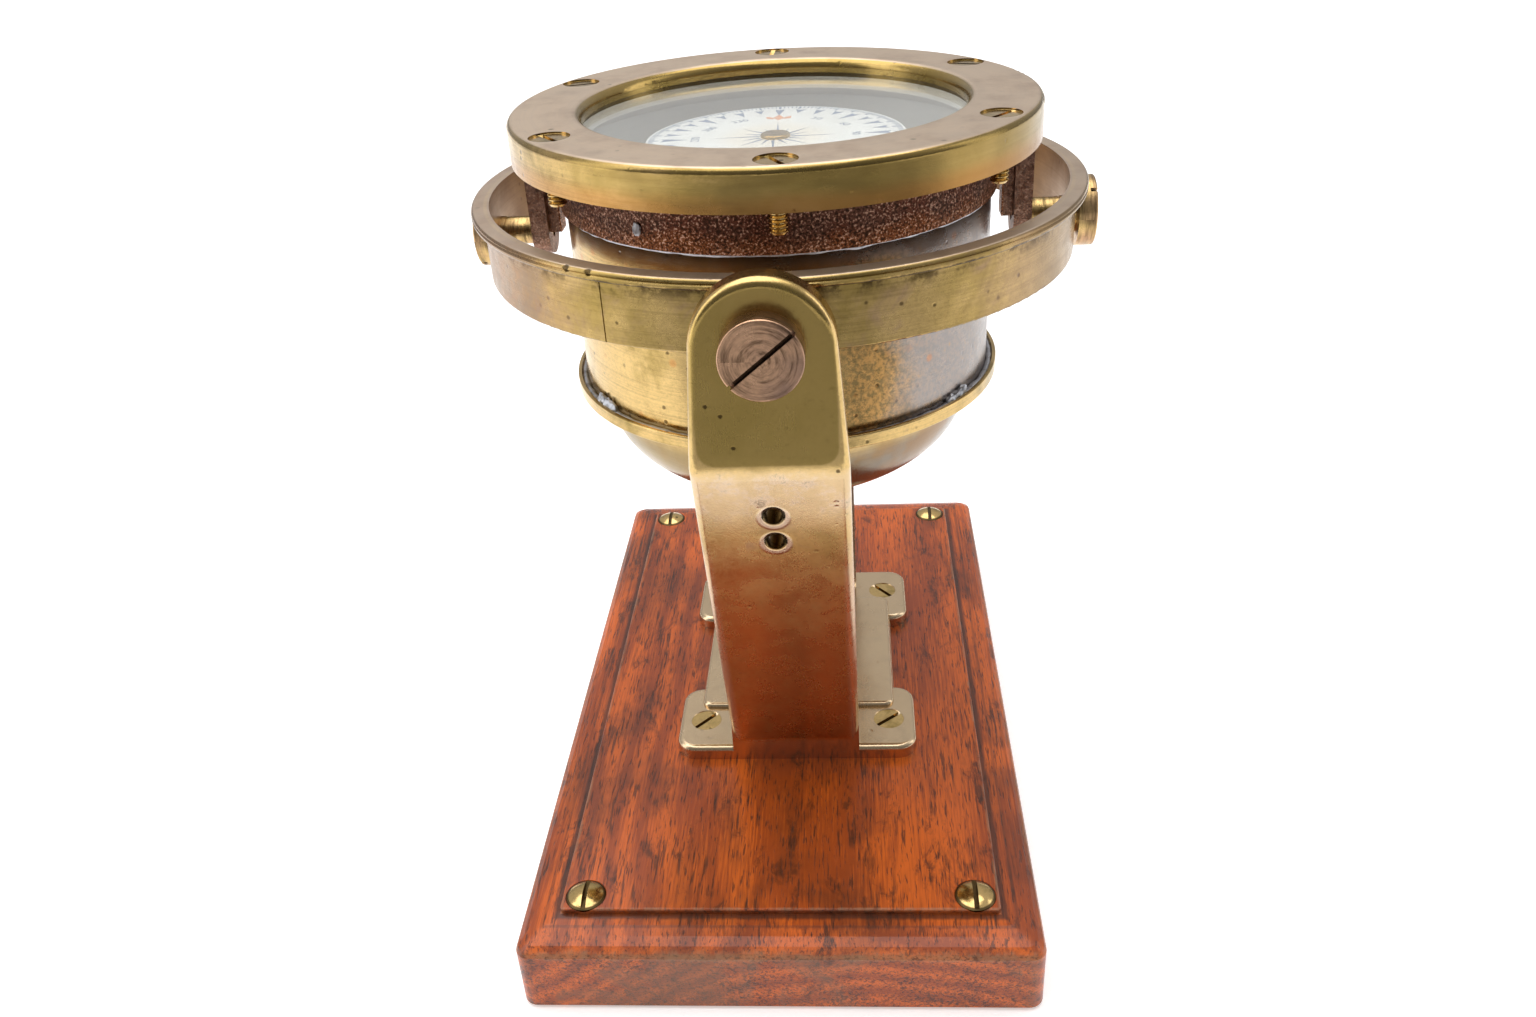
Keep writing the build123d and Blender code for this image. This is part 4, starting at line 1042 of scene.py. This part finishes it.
# ------------------------------------------------------------------ studio
class BuildStage(bpy.types.Operator):
    """Pale floor, soft lights, surroundings and the camera"""

    bl_idname = "compass.build_stage"
    bl_label = "Studio"

    def execute(self, context):
        scene = context.scene
        sizes = scene.compass_sizes
        hue = colours()
        mesh = bpy.data.meshes.new("studio_floor")
        built = bmesh.new()
        bmesh.ops.create_circle(built, cap_ends=True, segments=96, radius=8.0)
        built.to_mesh(mesh)
        built.free()
        floor = bpy.data.objects.new("studio_floor", mesh)
        scene.collection.objects.link(floor)
        shop = Shop("Studio floor")
        shop.shader.inputs["Emission Strength"].default_value = 1.0
        away = shop.vector("LENGTH", shop.place(), (0, 0, 0), "Value")
        glow = shop.mix(shop.ease(away, 400.0, 1600.0), (0.4, 0.4, 0.4), (0.8, 0.8, 0.8))
        mesh.materials.append(shop.finish(hue["floor"], 0.6, Emission_Color=glow))

        def flag(name, low, high, tone):
            """Grey card that only the metal's reflections see."""
            card = bpy.data.meshes.new(name)
            corners = [low, (high[0], low[1], low[2]), high, (low[0], high[1], high[2])]
            card.from_pydata(corners, [], [(0, 1, 2, 3)])
            held = bpy.data.objects.new(name, card)
            scene.collection.objects.link(held)
            card.materials.append(Shop(name).finish((tone, tone, tone), 0.9))
            for kind in ("camera", "diffuse", "shadow", "transmission", "volume_scatter"):
                setattr(held, "visible_" + kind, False)

        flag("front_flag", (-0.4, -1.3, 0.02), (0.8, -0.21, 0.02), 0.5)

        def soft_light(name, power, size, place, target):
            """Wide lamp turned towards a point."""
            lamp = bpy.data.lights.new(name, "AREA")
            lamp.shape = "RECTANGLE"
            lamp.size, lamp.size_y = size
            lamp.energy = power
            stand = bpy.data.objects.new(name, lamp)
            stand.location = place
            stand.rotation_euler = (Vector(target) - Vector(place)).to_track_quat("-Z", "Y").to_euler()
            scene.collection.objects.link(stand)

        middle = (0, 0, 0.13)
        soft_light("top_light", sizes.key_power, (1.3, 1.3), (-0.15, 0.1, 1.2), middle)
        soft_light("left_light", sizes.side_power, (0.5, 1.1), (-1.0, -0.25, 0.5), middle)
        soft_light("right_light", sizes.side_power * 0.5, (0.4, 0.9), (1.05, 0.1, 0.55), middle)

        scene.view_settings.view_transform = "Standard"
        world = bpy.data.worlds.new("Studio air")
        scene.world = world
        air = Shop("Studio air", world)
        up = air.axis(air.node("ShaderNodeTexCoord", output="Generated"), 2)
        back = air.axis(air.node("ShaderNodeTexCoord", output="Generated"), 1)
        stops = ((0.0, (0.5, 0.5, 0.5)), (0.5, (0.3, 0.3, 0.3)),
                 (0.62, (0.5, 0.5, 0.51)), (1.0, (0.75, 0.75, 0.75)))
        sky = air.node("ShaderNodeValToRGB", {"stops": stops}, {0: up * 0.5 + 0.5})
        shade = air.ease(back, -0.9, 0.2) * 0.6 + 0.4
        seen = air.node("ShaderNodeLightPath", output="Is Camera Ray")
        light = air.mix(seen, air.mix(shade, (0, 0, 0), sky), (1, 1, 1))
        air.tree.links.new(light.socket, air.shader.inputs["Color"])

        lens = bpy.data.cameras.new("camera")
        lens.lens = sizes.camera_lens
        lens.sensor_width = 36.0
        lens.clip_start = 0.01
        camera = bpy.data.objects.new("camera", lens)
        camera.location = sizes.camera_place
        tilt = Matrix.Rotation(math.pi / 2 - sizes.camera_dip, 3, "X")
        turn = Matrix.Rotation(sizes.camera_yaw, 3, "Z") @ tilt @ Matrix.Rotation(sizes.camera_roll, 3, "Z")
        camera.rotation_euler = turn.to_euler()
        scene.collection.objects.link(camera)
        scene.camera = camera
        return {"FINISHED"}


# ------------------------------------------------------------------ panel and registration
STEPS = (FinishBoard, FinishBracket, FinishScrews, FinishGimbalRing, FinishRimCasting, FinishBowl,
         AddSolder, FinishBezel, FinishGlass, FinishInnerWorks, PrintCard, BuildStage)


class CompassPanel(bpy.types.Panel):
    """Sidebar panel with one button for each step"""

    bl_idname = "VIEW3D_PT_compass"
    bl_label = "Compass"
    bl_space_type = "VIEW_3D"
    bl_region_type = "UI"
    bl_category = "Compass"

    def draw(self, context):
        for step in STEPS:
            self.layout.operator(step.bl_idname)
        for group in (context.scene.compass_sizes, context.scene.compass_colours):
            box = self.layout.box()
            for name in type(group).__annotations__:
                box.prop(group, name)


CLASSES = (CompassColours, CompassSizes, *STEPS, CompassPanel)


def register():
    """Add the classes and the scene's settings."""
    for item in CLASSES:
        bpy.utils.register_class(item)
    bpy.types.Scene.compass_colours = PointerProperty(type=CompassColours)
    bpy.types.Scene.compass_sizes = PointerProperty(type=CompassSizes)


def unregister():
    """Take them away again."""
    del bpy.types.Scene.compass_sizes
    del bpy.types.Scene.compass_colours
    for item in reversed(CLASSES):
        bpy.utils.unregister_class(item)


def main():
    """Register, and run every step in order."""
    register()
    for step in STEPS:
        group, name = step.bl_idname.split(".")
        getattr(getattr(bpy.ops, group), name)()


if __name__ == "__main__":
    main()
